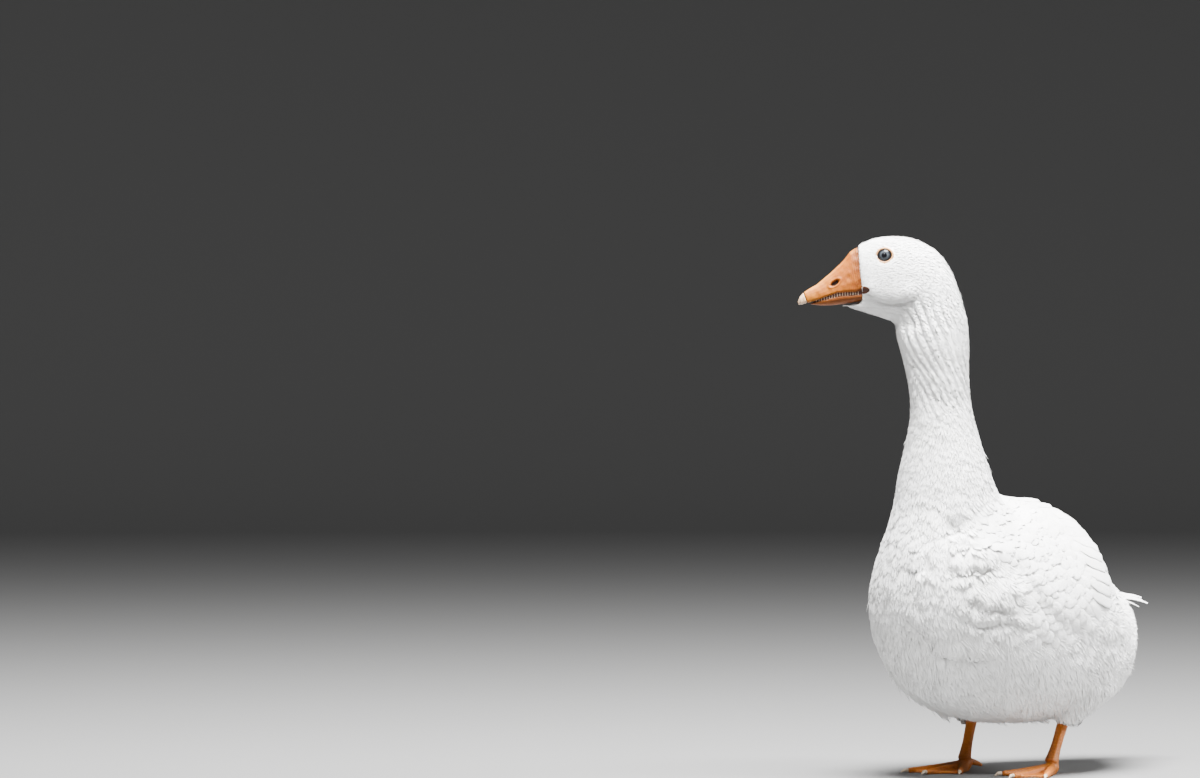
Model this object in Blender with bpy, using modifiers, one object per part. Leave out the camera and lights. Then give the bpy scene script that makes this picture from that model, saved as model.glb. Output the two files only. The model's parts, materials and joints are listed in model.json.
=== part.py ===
"""A life-size white domestic goose, standing, with its head turned to its right.

The goose faces -Y, its left side is +X and +Z is up; all sizes are in metres.
Body, neck and head are one loft of oval sections, parted by thin cuts.
The loft is shaped straight ahead first, then the neck is twisted to turn the head.
"""

from math import cos, pi, radians, sin, sqrt

import bmesh
import bpy
from mathutils import Matrix, Vector
from mathutils.bvhtree import BVHTree

# Pose
HEAD_TURN = radians(-60)        # about the neck, towards the goose's right
NECK_AXIS_Y = -0.144            # the neck stands over this line
TWIST_START, TWIST_END = 0.335, 0.490

# Parting and fineness
GAP = 0.0004                    # clear space between neighbouring pieces
SIDES = 28                      # points round a body section
STEPS = 2                       # rings for each listed section

# Body sections, rump to bill: belly y, z; back y, z; half width; how far up the
# widest place is; roundness below and above it (2 is an ellipse, less is pointed).
TRUNK = (
    (0.241, 0.160, 0.241, 0.180, 0.019, 0.50, 2.0, 2.0),
    (0.216, 0.136, 0.214, 0.202, 0.045, 0.46, 2.0, 1.7),
    (0.184, 0.106, 0.184, 0.230, 0.065, 0.39, 2.2, 1.4),
    (0.144, 0.076, 0.144, 0.262, 0.086, 0.34, 2.3, 1.27),
    (0.100, 0.060, 0.100, 0.2890, 0.104, 0.34, 2.4, 1.52),
    (0.046, 0.056, 0.046, 0.3042, 0.115, 0.36, 2.4, 1.94),
    (-0.010, 0.056, -0.002, 0.3075, 0.118, 0.39, 2.3, 2.00),
    (-0.072, 0.061, -0.034, 0.313, 0.116, 0.42, 2.2, 1.9),
    (-0.126, 0.078, -0.048, 0.311, 0.110, 0.45, 2.2, 1.95),
    (-0.170, 0.112, -0.056, 0.310, 0.101, 0.47, 2.1, 1.95),
    (-0.198, 0.158, -0.062, 0.311, 0.090, 0.49, 2.1, 2.0),
    (-0.207, 0.205, -0.067, 0.314, 0.078, 0.50, 2.0, 2.0),
    (-0.202, 0.250, -0.071, 0.319, 0.066, 0.50, 2.0, 2.0),
    (-0.192, 0.292, -0.076, 0.327, 0.057, 0.50, 2.0, 2.0),
)
NECK = (
    (-0.187, 0.330, -0.084, 0.338, 0.052, 0.50, 2.0, 2.0),
    (-0.183, 0.360, -0.094, 0.363, 0.044, 0.50, 2.0, 2.0),
    (-0.179, 0.388, -0.103, 0.389, 0.037, 0.50, 2.0, 2.0),
    (-0.178, 0.416, -0.110, 0.416, 0.033, 0.50, 2.0, 2.0),
    (-0.182, 0.446, -0.112, 0.446, 0.034, 0.50, 2.0, 2.0),
    (-0.189, 0.474, -0.112, 0.474, 0.036, 0.50, 2.0, 2.0),
    (-0.194, 0.492, -0.113, 0.496, 0.036, 0.50, 2.0, 2.0),
)
HEAD = (
    (-0.194, 0.499, -0.116, 0.514, 0.034, 0.50, 1.9, 2.0),
    (-0.196, 0.502, -0.123, 0.537, 0.031, 0.50, 1.8, 2.0),
    (-0.199, 0.504, -0.132, 0.561, 0.0305, 0.50, 1.7, 2.0),
    (-0.203, 0.505, -0.149, 0.583, 0.030, 0.47, 1.7, 2.1),
    (-0.209, 0.507, -0.175, 0.596, 0.0285, 0.44, 1.7, 2.1),
    (-0.217, 0.510, -0.203, 0.598, 0.0265, 0.44, 1.7, 2.1),
    (-0.224, 0.512, -0.222, 0.594, 0.0225, 0.44, 1.8, 2.1),
    (-0.229, 0.514, -0.235, 0.588, 0.0185, 0.46, 2.0, 2.1),
)
CHIN = (
    (-0.222, 0.512, -0.222, 0.528, 0.0140, 0.60, 2.0, 2.0),
    (-0.230, 0.5145, -0.230, 0.5262, 0.0125, 0.60, 2.0, 2.0),
    (-0.242, 0.5180, -0.242, 0.5232, 0.0080, 0.60, 2.0, 2.0),
    (-0.253, 0.5208, -0.253, 0.5220, 0.0022, 0.50, 2.0, 2.0),
)
UPPER_BILL = (
    (-0.2312, 0.5390, -0.2354, 0.5860, 0.0175, 0.12, 4.0, 2.0),
    (-0.2370, 0.5355, -0.2430, 0.5812, 0.0166, 0.12, 4.0, 2.0),
    (-0.2470, 0.5356, -0.2510, 0.5708, 0.0153, 0.12, 4.0, 2.0),
    (-0.2560, 0.5350, -0.2600, 0.5618, 0.0142, 0.12, 4.0, 2.0),
    (-0.2640, 0.5326, -0.2700, 0.5530, 0.0132, 0.15, 4.0, 2.1),
    (-0.2730, 0.5295, -0.2800, 0.5446, 0.0124, 0.18, 4.0, 2.2),
    (-0.2820, 0.5266, -0.2880, 0.5400, 0.0114, 0.20, 4.0, 2.3),
    (-0.2900, 0.5246, -0.2940, 0.5360, 0.0098, 0.22, 4.0, 2.3),
)
BILL_NAIL = (
    (-0.2906, 0.5245, -0.2946, 0.5355, 0.0096, 0.22, 4.0, 2.3),
    (-0.2960, 0.5226, -0.2985, 0.5312, 0.0072, 0.25, 3.0, 2.3),
    (-0.3000, 0.5222, -0.3006, 0.5262, 0.0034, 0.40, 2.0, 2.0),
)
LOWER_BILL = (
    (-0.2312, 0.5272, -0.2318, 0.5342, 0.0146, 0.70, 2.0, 4.0),
    (-0.2420, 0.5240, -0.2420, 0.5330, 0.0134, 0.70, 2.0, 4.0),
    (-0.2540, 0.5226, -0.2540, 0.5324, 0.0122, 0.70, 2.0, 4.0),
    (-0.2640, 0.5215, -0.2640, 0.5300, 0.0110, 0.70, 2.0, 4.0),
    (-0.2740, 0.5213, -0.2740, 0.5272, 0.0096, 0.70, 2.0, 4.0),
    (-0.2820, 0.5220, -0.2820, 0.5248, 0.0074, 0.60, 2.0, 3.0),
    (-0.2870, 0.5228, -0.2870, 0.5238, 0.0040, 0.50, 2.0, 2.0),
)

# Eyes
EYE_RADIUS = 0.009
EYE_SIDE, EYE_Y, EYE_Z = 0.0172, -0.2045, 0.576

# Folded wings: a pad on the side of the trunk, and the blade of the long primaries
WING_FRONT, WING_BACK = -0.116, 0.170
WING_THICK, WING_RIM = 0.0065, 0.0025
WING_TAPER = 0.6                # how much of the swell is lost towards the back
WING_TOP, WING_LOW = radians(66), radians(-14)    # its edges' rise above the trunk's middle
WING_RISE = radians(9.6)        # and how much further they rise at the back
WING_ROWS, WING_COLUMNS = 12, 7
WING_DEPTH = 0.014              # of the slab that the trunk then cuts
MIDDLE_FRONT, MIDDLE_BACK = (-0.12, 0.192), (0.20, 0.150)    # y, z of the trunk's middle line
BLADE_SIDES = 10
BLADE_ACROSS, BLADE_UP = (0.90, 0.10, -0.42), (0.42, 0.25, 0.87)    # the way its flat lies
WING_TIP = (                    # side, y, z, half width, half thickness
    (0.037, 0.132, 0.2350, 0.012, 0.0036),
    (0.027, 0.160, 0.2240, 0.014, 0.0040),
    (0.019, 0.190, 0.2115, 0.012, 0.0036),
    (0.014, 0.216, 0.2010, 0.009, 0.0028),
    (0.010, 0.236, 0.1960, 0.004, 0.0014),
)

# Tail fan
TAIL_ROOT = (0.172, 0.2060)     # y, z where its feathers meet
TAIL_LENGTH = 0.100
TAIL_SPREAD = radians(19)       # each side of the middle
TAIL_ROOT_HALF = 0.012
TAIL_FEATHERS = 12
TAIL_NOTCH, TAIL_ROUND = 0.045, 0.16    # share of the length lost between tips, and at the sides
TAIL_DROP, TAIL_CURL, TAIL_ARCH = 0.21, 0.30, 4.5
TAIL_THICK = 0.0035

# Legs
STANCE = 0.056                  # each foot's distance from the middle
THIGH_SIZE = (0.043, 0.062, 0.047)
THIGH_AT = (0.064, 0.050, 0.094)
THIGH_NARROWS, THIGH_RAKES = 0.52, 0.42         # towards the bottom, and forwards there
HOCK, ANKLE = (0.034, 0.074), (0.004, 0.013)    # y, z
SHANK_SPLAY = 0.004             # how much further out the hock is than the ankle
SHANK_RADII = (0.0080, 0.0066, 0.0062, 0.0082)
TOES = ((-26, 0.066), (0, 0.084), (25, 0.076))  # splay in degrees, towards the outside; length
TOE_RADII, TOE_HEIGHTS = (0.0064, 0.0046, 0.0032), (0.0068, 0.0042, 0.0028)
KNUCKLE_RADIUS, KNUCKLE_Z = 0.0084, 0.0078
HIND_TOE = ((0.002, 0.003, 0.002), (0.006, 0.013, 0.001), (0.009, 0.022, -0.003))    # from the knuckle
HIND_TOE_RADII = (0.0045, 0.0036, 0.0018)
WEB_THICK, WEB_BELOW = 0.0026, 0.002
WEB_REACH, WEB_HOLLOW = 0.96, 0.30              # shares of the toes
CLAW_LENGTH, CLAW_RADIUS = 0.009, 0.0024

WHITE = (0.86, 0.85, 0.82, 1)
ORANGE = (0.80, 0.33, 0.09, 1)
HORN = (0.80, 0.66, 0.50, 1)
EYE_COLOUR = (0.05, 0.07, 0.10, 1)


def clear_scene():
    for obj in list(bpy.data.objects):
        bpy.data.objects.remove(obj)


def new_collection(name):
    made = bpy.data.collections.new(name)
    bpy.context.scene.collection.children.link(made)
    return made


def material(name, colour, roughness):
    made = bpy.data.materials.new(name)
    made.use_nodes = True
    shader = made.node_tree.nodes["Principled BSDF"]
    shader.inputs["Base Color"].default_value = colour
    shader.inputs["Roughness"].default_value = roughness
    shader.inputs["Metallic"].default_value = 0.0
    return made


def smoothstep(low, high, x):
    t = min(1.0, max(0.0, (x - low) / (high - low)))
    return t * t * (3 - 2 * t)


def head_turned(point):
    """Where the neck's twist carries a point of the straight goose."""
    turn = HEAD_TURN * smoothstep(TWIST_START, TWIST_END, point.z)
    axis = Vector((0, NECK_AXIS_Y, 0))
    return Matrix.Rotation(turn, 3, "Z") @ (point - axis) + axis


def between(rows, place):
    """The row at a fractional place in a list, on a smooth curve through its rows."""
    i = min(int(place), len(rows) - 2)
    t = place - i
    before = rows[max(i - 1, 0)]
    after = rows[min(i + 2, len(rows) - 1)]
    found = []
    for p0, p1, p2, p3 in zip(before, rows[i], rows[i + 1], after):
        m1, m2 = (p2 - p0) / 2, (p3 - p1) / 2
        found.append(
            (2 * t**3 - 3 * t**2 + 1) * p1 + (t**3 - 2 * t**2 + t) * m1
            + (3 * t**2 - 2 * t**3) * p2 + (t**3 - t**2) * m2
        )
    return found


def oval(row, sides):
    """The ring of points of one body section."""
    belly_y, belly_z, back_y, back_z, half_width, waist, below, above = row
    belly, back = Vector((0, belly_y, belly_z)), Vector((0, back_y, back_z))
    centre = belly.lerp(back, waist)
    ring = []
    for k in range(sides):
        angle = 2 * pi * (k + 0.5) / sides
        up = sin(angle) > 0
        power = 2 / (above if up else below)
        side = abs(cos(angle)) ** power * (1 if cos(angle) > 0 else -1)
        rise = abs(sin(angle)) ** power
        reach = back - centre if up else belly - centre
        ring.append(centre + reach * rise + Vector((side * half_width, 0, 0)))
    return ring


def rings_of(rows, sides=SIDES, steps=STEPS, first=0, last=None):
    """Rings along a list of sections, from its first to its last fractional place."""
    last = len(rows) - 1 if last is None else last
    count = round((last - first) * steps)
    return [oval(between(rows, first + (last - first) * i / count), sides) for i in range(count + 1)]


def lofted(rings):
    """A closed mesh over the rings, with a flat cap at each end."""
    bm = bmesh.new()
    loops = [[bm.verts.new(p) for p in ring] for ring in rings]
    sides = len(rings[0])
    for a, b in zip(loops, loops[1:]):
        for k in range(sides):
            bm.faces.new((a[k], a[(k + 1) % sides], b[(k + 1) % sides], b[k]))
    bm.faces.new(loops[0][::-1])
    bm.faces.new(loops[-1])
    bmesh.ops.triangulate(bm, faces=bm.faces)     # so that a swollen copy has the same facets
    bmesh.ops.recalc_face_normals(bm, faces=bm.faces)
    mesh = bpy.data.meshes.new("loft")
    bm.to_mesh(mesh)
    bm.free()
    return mesh


def smooth_shaded(mesh, angle=radians(50)):
    mesh.shade_smooth()
    mesh.set_sharp_from_angle(angle=angle)


class Goose:
    """Collects the pieces, all parented to one empty that stands them on the floor."""

    def __init__(self):
        self.pieces = new_collection("goose")
        self.cutters = new_collection("goose_cutters")
        self.root = bpy.data.objects.new("goose_root", None)
        self.pieces.objects.link(self.root)
        self.white = material("white_plumage", WHITE, 0.85)
        self.orange = material("orange_skin", ORANGE, 0.5)
        self.horn = material("pale_horn", HORN, 0.45)
        self.eye = material("dark_eye", EYE_COLOUR, 0.08)

    def add(self, name, mesh, finish):
        mesh.name = name
        mesh.materials.clear()
        mesh.materials.append(finish)
        smooth_shaded(mesh)
        obj = bpy.data.objects.new(name, mesh)
        obj.parent = self.root
        self.pieces.objects.link(obj)
        return obj

    def helper(self, name, mesh, grow=0.0):
        """A hidden copy for a Boolean, swollen by grow so that it leaves a gap."""
        obj = bpy.data.objects.new(name, mesh)
        obj.parent = self.root
        obj.hide_render = True
        obj.display_type = "WIRE"
        self.cutters.objects.link(obj)
        if grow:
            swell = obj.modifiers.new("swell", "DISPLACE")
            swell.strength, swell.mid_level = grow, 0.0
        return obj

    def evaluated_helper(self, obj, use):
        """A hidden, swollen copy of a piece as its modifiers leave it."""
        return self.helper(f"{obj.name}_for_{use}", evaluated_mesh(obj), GAP)


def evaluated_mesh(obj):
    """The mesh that an object's modifiers make."""
    bpy.context.view_layer.update()
    graph = bpy.context.evaluated_depsgraph_get()
    return bpy.data.meshes.new_from_object(obj.evaluated_get(graph))


def apply_modifiers(obj):
    obj.data = evaluated_mesh(obj)
    obj.modifiers.clear()


def boolean(obj, other, operation):
    made = obj.modifiers.new(other.name, "BOOLEAN")
    made.operation, made.object, made.solver = operation, other, "EXACT"


def turned_mesh(mesh):
    for vertex in mesh.vertices:
        vertex.co = head_turned(vertex.co)
    return mesh


def set_back(rings, at_start, at_end):
    """Moves the end rings inwards along the loft by half a gap each, where asked."""
    def centre(ring):
        return sum(ring, Vector()) / len(ring)
    if at_start:
        step = (centre(rings[1]) - centre(rings[0])).normalized() * GAP / 2
        rings[0] = [p + step for p in rings[0]]
    if at_end:
        step = (centre(rings[-2]) - centre(rings[-1])).normalized() * GAP / 2
        rings[-1] = [p + step for p in rings[-1]]
    return rings


def make_flesh(goose):
    """Trunk, neck and head, cut from one smooth run of sections."""
    rows = TRUNK + NECK + HEAD
    neck_from, head_from = len(TRUNK) - 0.5, len(TRUNK) + len(NECK) - 0.5
    trunk = lofted(set_back(rings_of(rows, last=neck_from), False, True))
    neck = lofted(set_back(rings_of(rows, first=neck_from, last=head_from), True, True))
    head = lofted(set_back(rings_of(rows, first=head_from), True, False))
    chin = lofted(rings_of(CHIN, sides=16))
    goose.add("trunk", turned_mesh(trunk), goose.white)
    goose.add("neck", turned_mesh(neck), goose.white)
    head_piece = goose.add("head", turned_mesh(head), goose.white)
    boolean(head_piece, goose.helper("chin_wedge", turned_mesh(chin)), "UNION")
    return head_piece


def make_bill(goose, head):
    """Both mandibles and the nail at the tip, set against the face."""
    face = goose.helper("head_for_bill", head.data.copy(), GAP)
    chin = goose.helper("chin_for_bill", bpy.data.objects["chin_wedge"].data.copy(), GAP)
    for name, rows, finish in (
        ("bill_upper", UPPER_BILL, goose.orange),
        ("bill_nail", BILL_NAIL, goose.horn),
        ("bill_lower", LOWER_BILL, goose.orange),
    ):
        piece = goose.add(name, turned_mesh(lofted(rings_of(rows, sides=20, steps=1))), finish)
        if name != "bill_nail":
            boolean(piece, face, "DIFFERENCE")
        if name == "bill_lower":
            boolean(piece, chin, "DIFFERENCE")


def ball(radius, centre):
    bm = bmesh.new()
    bmesh.ops.create_uvsphere(bm, u_segments=14, v_segments=8, radius=radius)
    bmesh.ops.translate(bm, verts=bm.verts, vec=centre)
    mesh = bpy.data.meshes.new("ball")
    bm.to_mesh(mesh)
    bm.free()
    return mesh


def make_eyes(goose, head):
    for name, side in (("eye_left", 1), ("eye_right", -1)):
        centre = head_turned(Vector((side * EYE_SIDE, EYE_Y, EYE_Z)))
        goose.add(name, ball(EYE_RADIUS, centre), goose.eye)
        socket = goose.helper("socket_" + name, ball(EYE_RADIUS + GAP, centre))
        boolean(head, socket, "DIFFERENCE")


def body_axis(y):
    """The height of the middle of the trunk at a place along it."""
    (front, high), (back, low) = MIDDLE_FRONT, MIDDLE_BACK
    return high + (low - high) * smoothstep(front, back, y)


def open_sheet(points, columns):
    """A one-sided sheet over a grid of points, ready for Solidify."""
    bm = bmesh.new()
    grid = [bm.verts.new(p) for p in points]
    for i in range(len(points) // columns - 1):
        for j in range(columns - 1):
            k = i * columns + j
            bm.faces.new((grid[k], grid[k + columns], grid[k + columns + 1], grid[k + 1]))
    bmesh.ops.triangulate(bm, faces=bm.faces)
    mesh = bpy.data.meshes.new("sheet")
    bm.to_mesh(mesh)
    bm.free()
    return mesh


def solidify(obj, thickness, offset):
    made = obj.modifiers.new("thickness", "SOLIDIFY")
    made.thickness, made.offset = thickness, offset


def wing_sheet(trunk, side):
    """The outer surface of a folded wing, laid over the trunk's side."""
    tree = BVHTree.FromPolygons([v.co for v in trunk.vertices], [p.vertices for p in trunk.polygons])
    middle, reach = (WING_FRONT + WING_BACK) / 2, (WING_BACK - WING_FRONT) / 2
    points = []
    for i in range(WING_ROWS + 1):
        along = -cos(pi * i / WING_ROWS)
        y = middle + reach * along
        share = max(0.16, (1 - abs(along) ** 3) ** 0.5)       # round at both ends
        centre = (WING_TOP + WING_LOW) / 2 + WING_RISE * smoothstep(-0.05, WING_BACK, y)
        half = (WING_TOP - WING_LOW) / 2 * share
        taper = 1 - WING_TAPER * smoothstep(-0.2, 1, along)
        for j in range(WING_COLUMNS + 1):
            across = -cos(pi * j / WING_COLUMNS)
            angle = centre + half * across
            ray = Vector((side * cos(angle), 0, sin(angle)))
            skin = tree.ray_cast(Vector((0, y, body_axis(y))), ray)[0]
            swell = taper * sqrt(max(0.0, (1 - across**2) * (1 - along**4)))
            points.append(skin + ray * (WING_RIM + (WING_THICK - WING_RIM) * swell))
    return open_sheet(points, WING_COLUMNS + 1)


def blade_rings(side):
    """Flat ovals along the folded primaries, which lie over the rump."""
    mirror = Matrix.Diagonal((side, 1, 1))
    flat, up = ((mirror @ Vector(way)).normalized() for way in (BLADE_ACROSS, BLADE_UP))
    rings = []
    count = (len(WING_TIP) - 1) * 3
    for i in range(count + 1):
        x, y, z, half, thick = between(WING_TIP, i / 3)
        centre = mirror @ Vector((x, y, z))
        turns = [2 * pi * k / BLADE_SIDES for k in range(BLADE_SIDES)]
        rings.append([centre + flat * half * cos(a) + up * thick * sin(a) for a in turns])
    return rings


def make_wings(goose):
    trunk = bpy.data.objects["trunk"].data
    body = goose.helper("trunk_for_wings", trunk.copy(), GAP)
    for name, side in (("left", 1), ("right", -1)):
        wing = goose.add("wing_" + name, wing_sheet(trunk, side), goose.white)
        solidify(wing, WING_DEPTH, -side)
        slab = goose.evaluated_helper(wing, "neighbours")
        boolean(wing, body, "DIFFERENCE")
        blade = goose.add("primaries_" + name, lofted(blade_rings(side)), goose.white)
        boolean(blade, body, "DIFFERENCE")
        boolean(blade, slab, "DIFFERENCE")


def tail_sheet():
    """A fan with one rounded tip for each tail feather, arched and drooping."""
    root_y, root_z = TAIL_ROOT
    across, along = TAIL_FEATHERS * 3, 3
    points = []
    for i in range(along + 1):
        for j in range(across + 1):
            share = 2 * j / across - 1
            tip = 1 - TAIL_NOTCH * (1 - abs(sin(pi * TAIL_FEATHERS * j / across)) ** 0.6)
            length = TAIL_LENGTH * (1 - TAIL_ROUND * share**2) * tip
            far = 0.10 + 0.90 * i / along
            angle = TAIL_SPREAD * share
            x = length * sin(angle) * far + TAIL_ROOT_HALF * share
            y = length * cos(angle) * far
            z = -TAIL_DROP * y - TAIL_CURL * y**2 - TAIL_ARCH * x**2
            points.append(Vector((x, root_y + y, root_z + z)))
    return open_sheet(points, across + 1)


def make_tail(goose):
    tail = goose.add("tail", tail_sheet(), goose.white)
    solidify(tail, TAIL_THICK, 0)
    boolean(tail, bpy.data.objects["trunk_for_wings"], "DIFFERENCE")
    for name in ("left", "right"):
        blade = bpy.data.objects["primaries_" + name]
        boolean(tail, goose.evaluated_helper(blade, "tail"), "DIFFERENCE")


def tube(points, radii):
    """A closed round tube along points, each with its own radius."""
    curve = bpy.data.curves.new("tube", "CURVE")
    curve.dimensions = "3D"
    curve.bevel_depth, curve.bevel_resolution, curve.use_fill_caps = 1.0, 2, True
    spline = curve.splines.new("POLY")
    spline.points.add(len(points) - 1)
    for spot, point, radius in zip(spline.points, points, radii):
        spot.co, spot.radius = (*point, 1), radius
    obj = bpy.data.objects.new("tube", curve)
    bpy.context.scene.collection.objects.link(obj)
    mesh = evaluated_mesh(obj)
    bpy.data.objects.remove(obj)
    bm = bmesh.new()
    bm.from_mesh(mesh)
    bmesh.ops.remove_doubles(bm, verts=bm.verts, dist=0.00001)
    bmesh.ops.recalc_face_normals(bm, faces=bm.faces)
    bm.to_mesh(mesh)
    bm.free()
    return mesh


def spread_points(points, radii, count):
    """A smooth run of points and radii through a few given ones."""
    rows = [(*p, r) for p, r in zip(points, radii)]
    found = [between(rows, (len(rows) - 1) * i / count) for i in range(count + 1)]
    return [Vector(f[:3]) for f in found], [f[3] for f in found]


def thigh_mesh(side):
    """The feathered part of the leg below the trunk, narrowing downwards."""
    bm = bmesh.new()
    bmesh.ops.create_uvsphere(bm, u_segments=16, v_segments=14, radius=1)
    for v in bm.verts:
        drop = 1 - smoothstep(-1.0, 0.1, v.co.z)
        v.co.x *= 1 - THIGH_NARROWS * drop
        v.co.y = v.co.y * (1 - THIGH_NARROWS * drop) - THIGH_RAKES * drop
        v.co = Vector(a * b for a, b in zip(v.co, THIGH_SIZE)) + Vector(THIGH_AT)
        v.co.x *= side
    if side < 0:
        bmesh.ops.reverse_faces(bm, faces=bm.faces)
    mesh = bpy.data.meshes.new("thigh")
    bm.to_mesh(mesh)
    bm.free()
    return mesh


def foot_origin(side):
    return Vector((side * STANCE, ANKLE[0], 0))


def toe_line(side, splay, length):
    """Points along a toe from the ankle to its tip."""
    angle = radians(splay)
    way = Vector((side * sin(angle), -cos(angle), 0))
    start = foot_origin(side)
    return [start + way * length * share + Vector((0, 0, height))
            for share, height in zip((0.0, 0.5, 0.985), TOE_HEIGHTS)]


def web_mesh(side):
    """The flat web between the toes, scalloped at the front."""
    start = foot_origin(side)
    tips = []
    for splay, length in TOES:
        angle = radians(splay)
        tips.append(start + Vector((side * sin(angle), -cos(angle), 0)) * length * WEB_REACH)
    outline = [start + Vector((-side * 0.004, 0.004, 0))]
    outline.append(tips[0])
    for a, b in zip(tips, tips[1:]):
        hollow = ((a + b) / 2).lerp(start, WEB_HOLLOW)
        for k in range(1, 5):
            t = k / 5
            outline.append(a * (1 - t) ** 2 + hollow * 2 * t * (1 - t) + b * t**2)
        outline.append(b)
    outline.append(start + Vector((side * 0.004, 0.004, 0)))
    rings = [[p + Vector((0, 0, z)) for p in outline] for z in (-WEB_BELOW, WEB_THICK)]
    return lofted(rings)


def claw_mesh(side, splay, length):
    angle = radians(splay)
    way = Vector((side * sin(angle), -cos(angle), 0))
    start = foot_origin(side) + way * (length + 0.0012)
    points = [start + Vector((0, 0, 0.0031)), start + way * CLAW_LENGTH * 0.5 + Vector((0, 0, 0.0033)),
              start + way * CLAW_LENGTH + Vector((0, 0, 0.0009))]
    return tube(*spread_points(points, (CLAW_RADIUS, CLAW_RADIUS * 0.75, 0.0005), 2))


def level_sole(mesh):
    """Cuts off what reaches below the floor and closes the flat left by the cut."""
    bm = bmesh.new()
    bm.from_mesh(mesh)
    cut = bmesh.ops.bisect_plane(
        bm, geom=bm.verts[:] + bm.edges[:] + bm.faces[:], dist=0.00001,
        plane_co=(0, 0, 0), plane_no=(0, 0, -1), clear_outer=True,
    )
    rim = [e for e in cut["geom_cut"] if isinstance(e, bmesh.types.BMEdge)]
    bmesh.ops.holes_fill(bm, edges=rim)
    bm.to_mesh(mesh)
    bm.free()


def make_foot(goose, name, side, shank):
    """Toes, web and hind toe in one piece, flat underneath, with separate claws."""
    foot = goose.add("foot_" + name, web_mesh(side), goose.orange)
    for number, (splay, length) in enumerate(TOES, 1):
        toe = tube(*spread_points(toe_line(side, splay, length), TOE_RADII, 3))
        boolean(foot, goose.helper(f"toe_{name}_{number}", toe), "UNION")
        goose.add(f"claw_{name}_{number}", claw_mesh(side, splay, length), goose.horn)
    heel = foot_origin(side) + Vector((0, 0.001, KNUCKLE_Z))
    boolean(foot, goose.helper("knuckle_" + name, ball(KNUCKLE_RADIUS, heel)), "UNION")
    spur = [heel + Vector((-side * x, y, z)) for x, y, z in HIND_TOE]
    spur_tube = tube(*spread_points(spur, HIND_TOE_RADII, 3))
    boolean(foot, goose.helper("hind_toe_" + name, spur_tube), "UNION")
    apply_modifiers(foot)
    level_sole(foot.data)
    boolean(foot, shank, "DIFFERENCE")


def make_legs(goose):
    body = bpy.data.objects["trunk_for_wings"]
    for name, side in (("left", 1), ("right", -1)):
        hock = Vector((side * (STANCE + SHANK_SPLAY), *HOCK))
        ankle = Vector((side * STANCE, *ANKLE))
        line = [hock, hock.lerp(ankle, 0.35), hock.lerp(ankle, 0.72), ankle]
        shank = goose.add("shank_" + name, tube(*spread_points(line, SHANK_RADII, 6)), goose.orange)
        boolean(shank, body, "DIFFERENCE")
        grown = goose.evaluated_helper(shank, "leg")

        thigh = goose.add("thigh_" + name, thigh_mesh(side), goose.white)
        boolean(thigh, body, "DIFFERENCE")
        boolean(thigh, bpy.data.objects[f"wing_{name}_for_neighbours"], "DIFFERENCE")
        boolean(thigh, grown, "DIFFERENCE")
        make_foot(goose, name, side, grown)


def centre_on_floor(goose):
    """Puts the origin at the middle of the goose's footprint, on the floor."""
    graph = bpy.context.evaluated_depsgraph_get()
    low, high = Vector((9, 9, 9)), Vector((-9, -9, -9))
    for obj in goose.pieces.objects:
        if obj.type == "MESH":
            mesh = obj.evaluated_get(graph).to_mesh()
            for v in mesh.vertices:
                low = Vector(map(min, low, v.co))
                high = Vector(map(max, high, v.co))
            obj.evaluated_get(graph).to_mesh_clear()
    goose.root.location = (-(low.x + high.x) / 2, -(low.y + high.y) / 2, -low.z)


def main():
    clear_scene()
    goose = Goose()
    head = make_flesh(goose)
    make_bill(goose, head)
    make_eyes(goose, head)
    make_wings(goose)
    make_tail(goose)
    make_legs(goose)
    centre_on_floor(goose)


main()
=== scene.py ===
import json
import math

import bpy
import numpy as np
from mathutils import Matrix, Vector
from mathutils.bvhtree import BVHTree

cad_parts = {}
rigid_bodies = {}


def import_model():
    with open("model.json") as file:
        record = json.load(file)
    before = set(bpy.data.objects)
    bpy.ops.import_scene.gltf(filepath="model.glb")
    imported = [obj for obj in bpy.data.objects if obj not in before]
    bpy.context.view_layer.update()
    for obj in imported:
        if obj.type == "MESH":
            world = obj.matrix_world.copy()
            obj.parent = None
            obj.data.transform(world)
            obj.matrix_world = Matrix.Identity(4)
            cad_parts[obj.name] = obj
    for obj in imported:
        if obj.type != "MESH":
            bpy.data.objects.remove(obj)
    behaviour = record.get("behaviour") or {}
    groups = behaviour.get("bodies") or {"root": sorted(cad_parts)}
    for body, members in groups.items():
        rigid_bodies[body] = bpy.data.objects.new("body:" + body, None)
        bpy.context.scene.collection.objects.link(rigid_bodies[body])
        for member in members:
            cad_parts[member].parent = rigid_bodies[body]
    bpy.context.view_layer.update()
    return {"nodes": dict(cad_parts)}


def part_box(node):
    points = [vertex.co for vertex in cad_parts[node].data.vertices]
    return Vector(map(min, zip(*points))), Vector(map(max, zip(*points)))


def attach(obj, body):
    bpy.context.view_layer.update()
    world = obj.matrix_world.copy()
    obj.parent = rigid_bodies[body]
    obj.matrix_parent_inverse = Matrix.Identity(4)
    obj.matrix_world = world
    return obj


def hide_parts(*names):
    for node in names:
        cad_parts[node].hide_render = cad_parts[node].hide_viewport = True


# White domestic goose, life size, standing with its head turned to its right.
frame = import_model()
nodes = frame["nodes"]


# small helpers

def deselectAll():
    if bpy.context.object and bpy.context.object.mode != "OBJECT":
        bpy.ops.object.mode_set(mode="OBJECT")
    for obj in bpy.context.view_layer.objects:
        obj.select_set(False)


def makeActive(obj):
    deselectAll()
    obj.select_set(True)
    bpy.context.view_layer.objects.active = obj


def applyModifiers(obj):
    makeActive(obj)
    for modifier in list(obj.modifiers):
        bpy.ops.object.modifier_apply(modifier=modifier.name)


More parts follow.
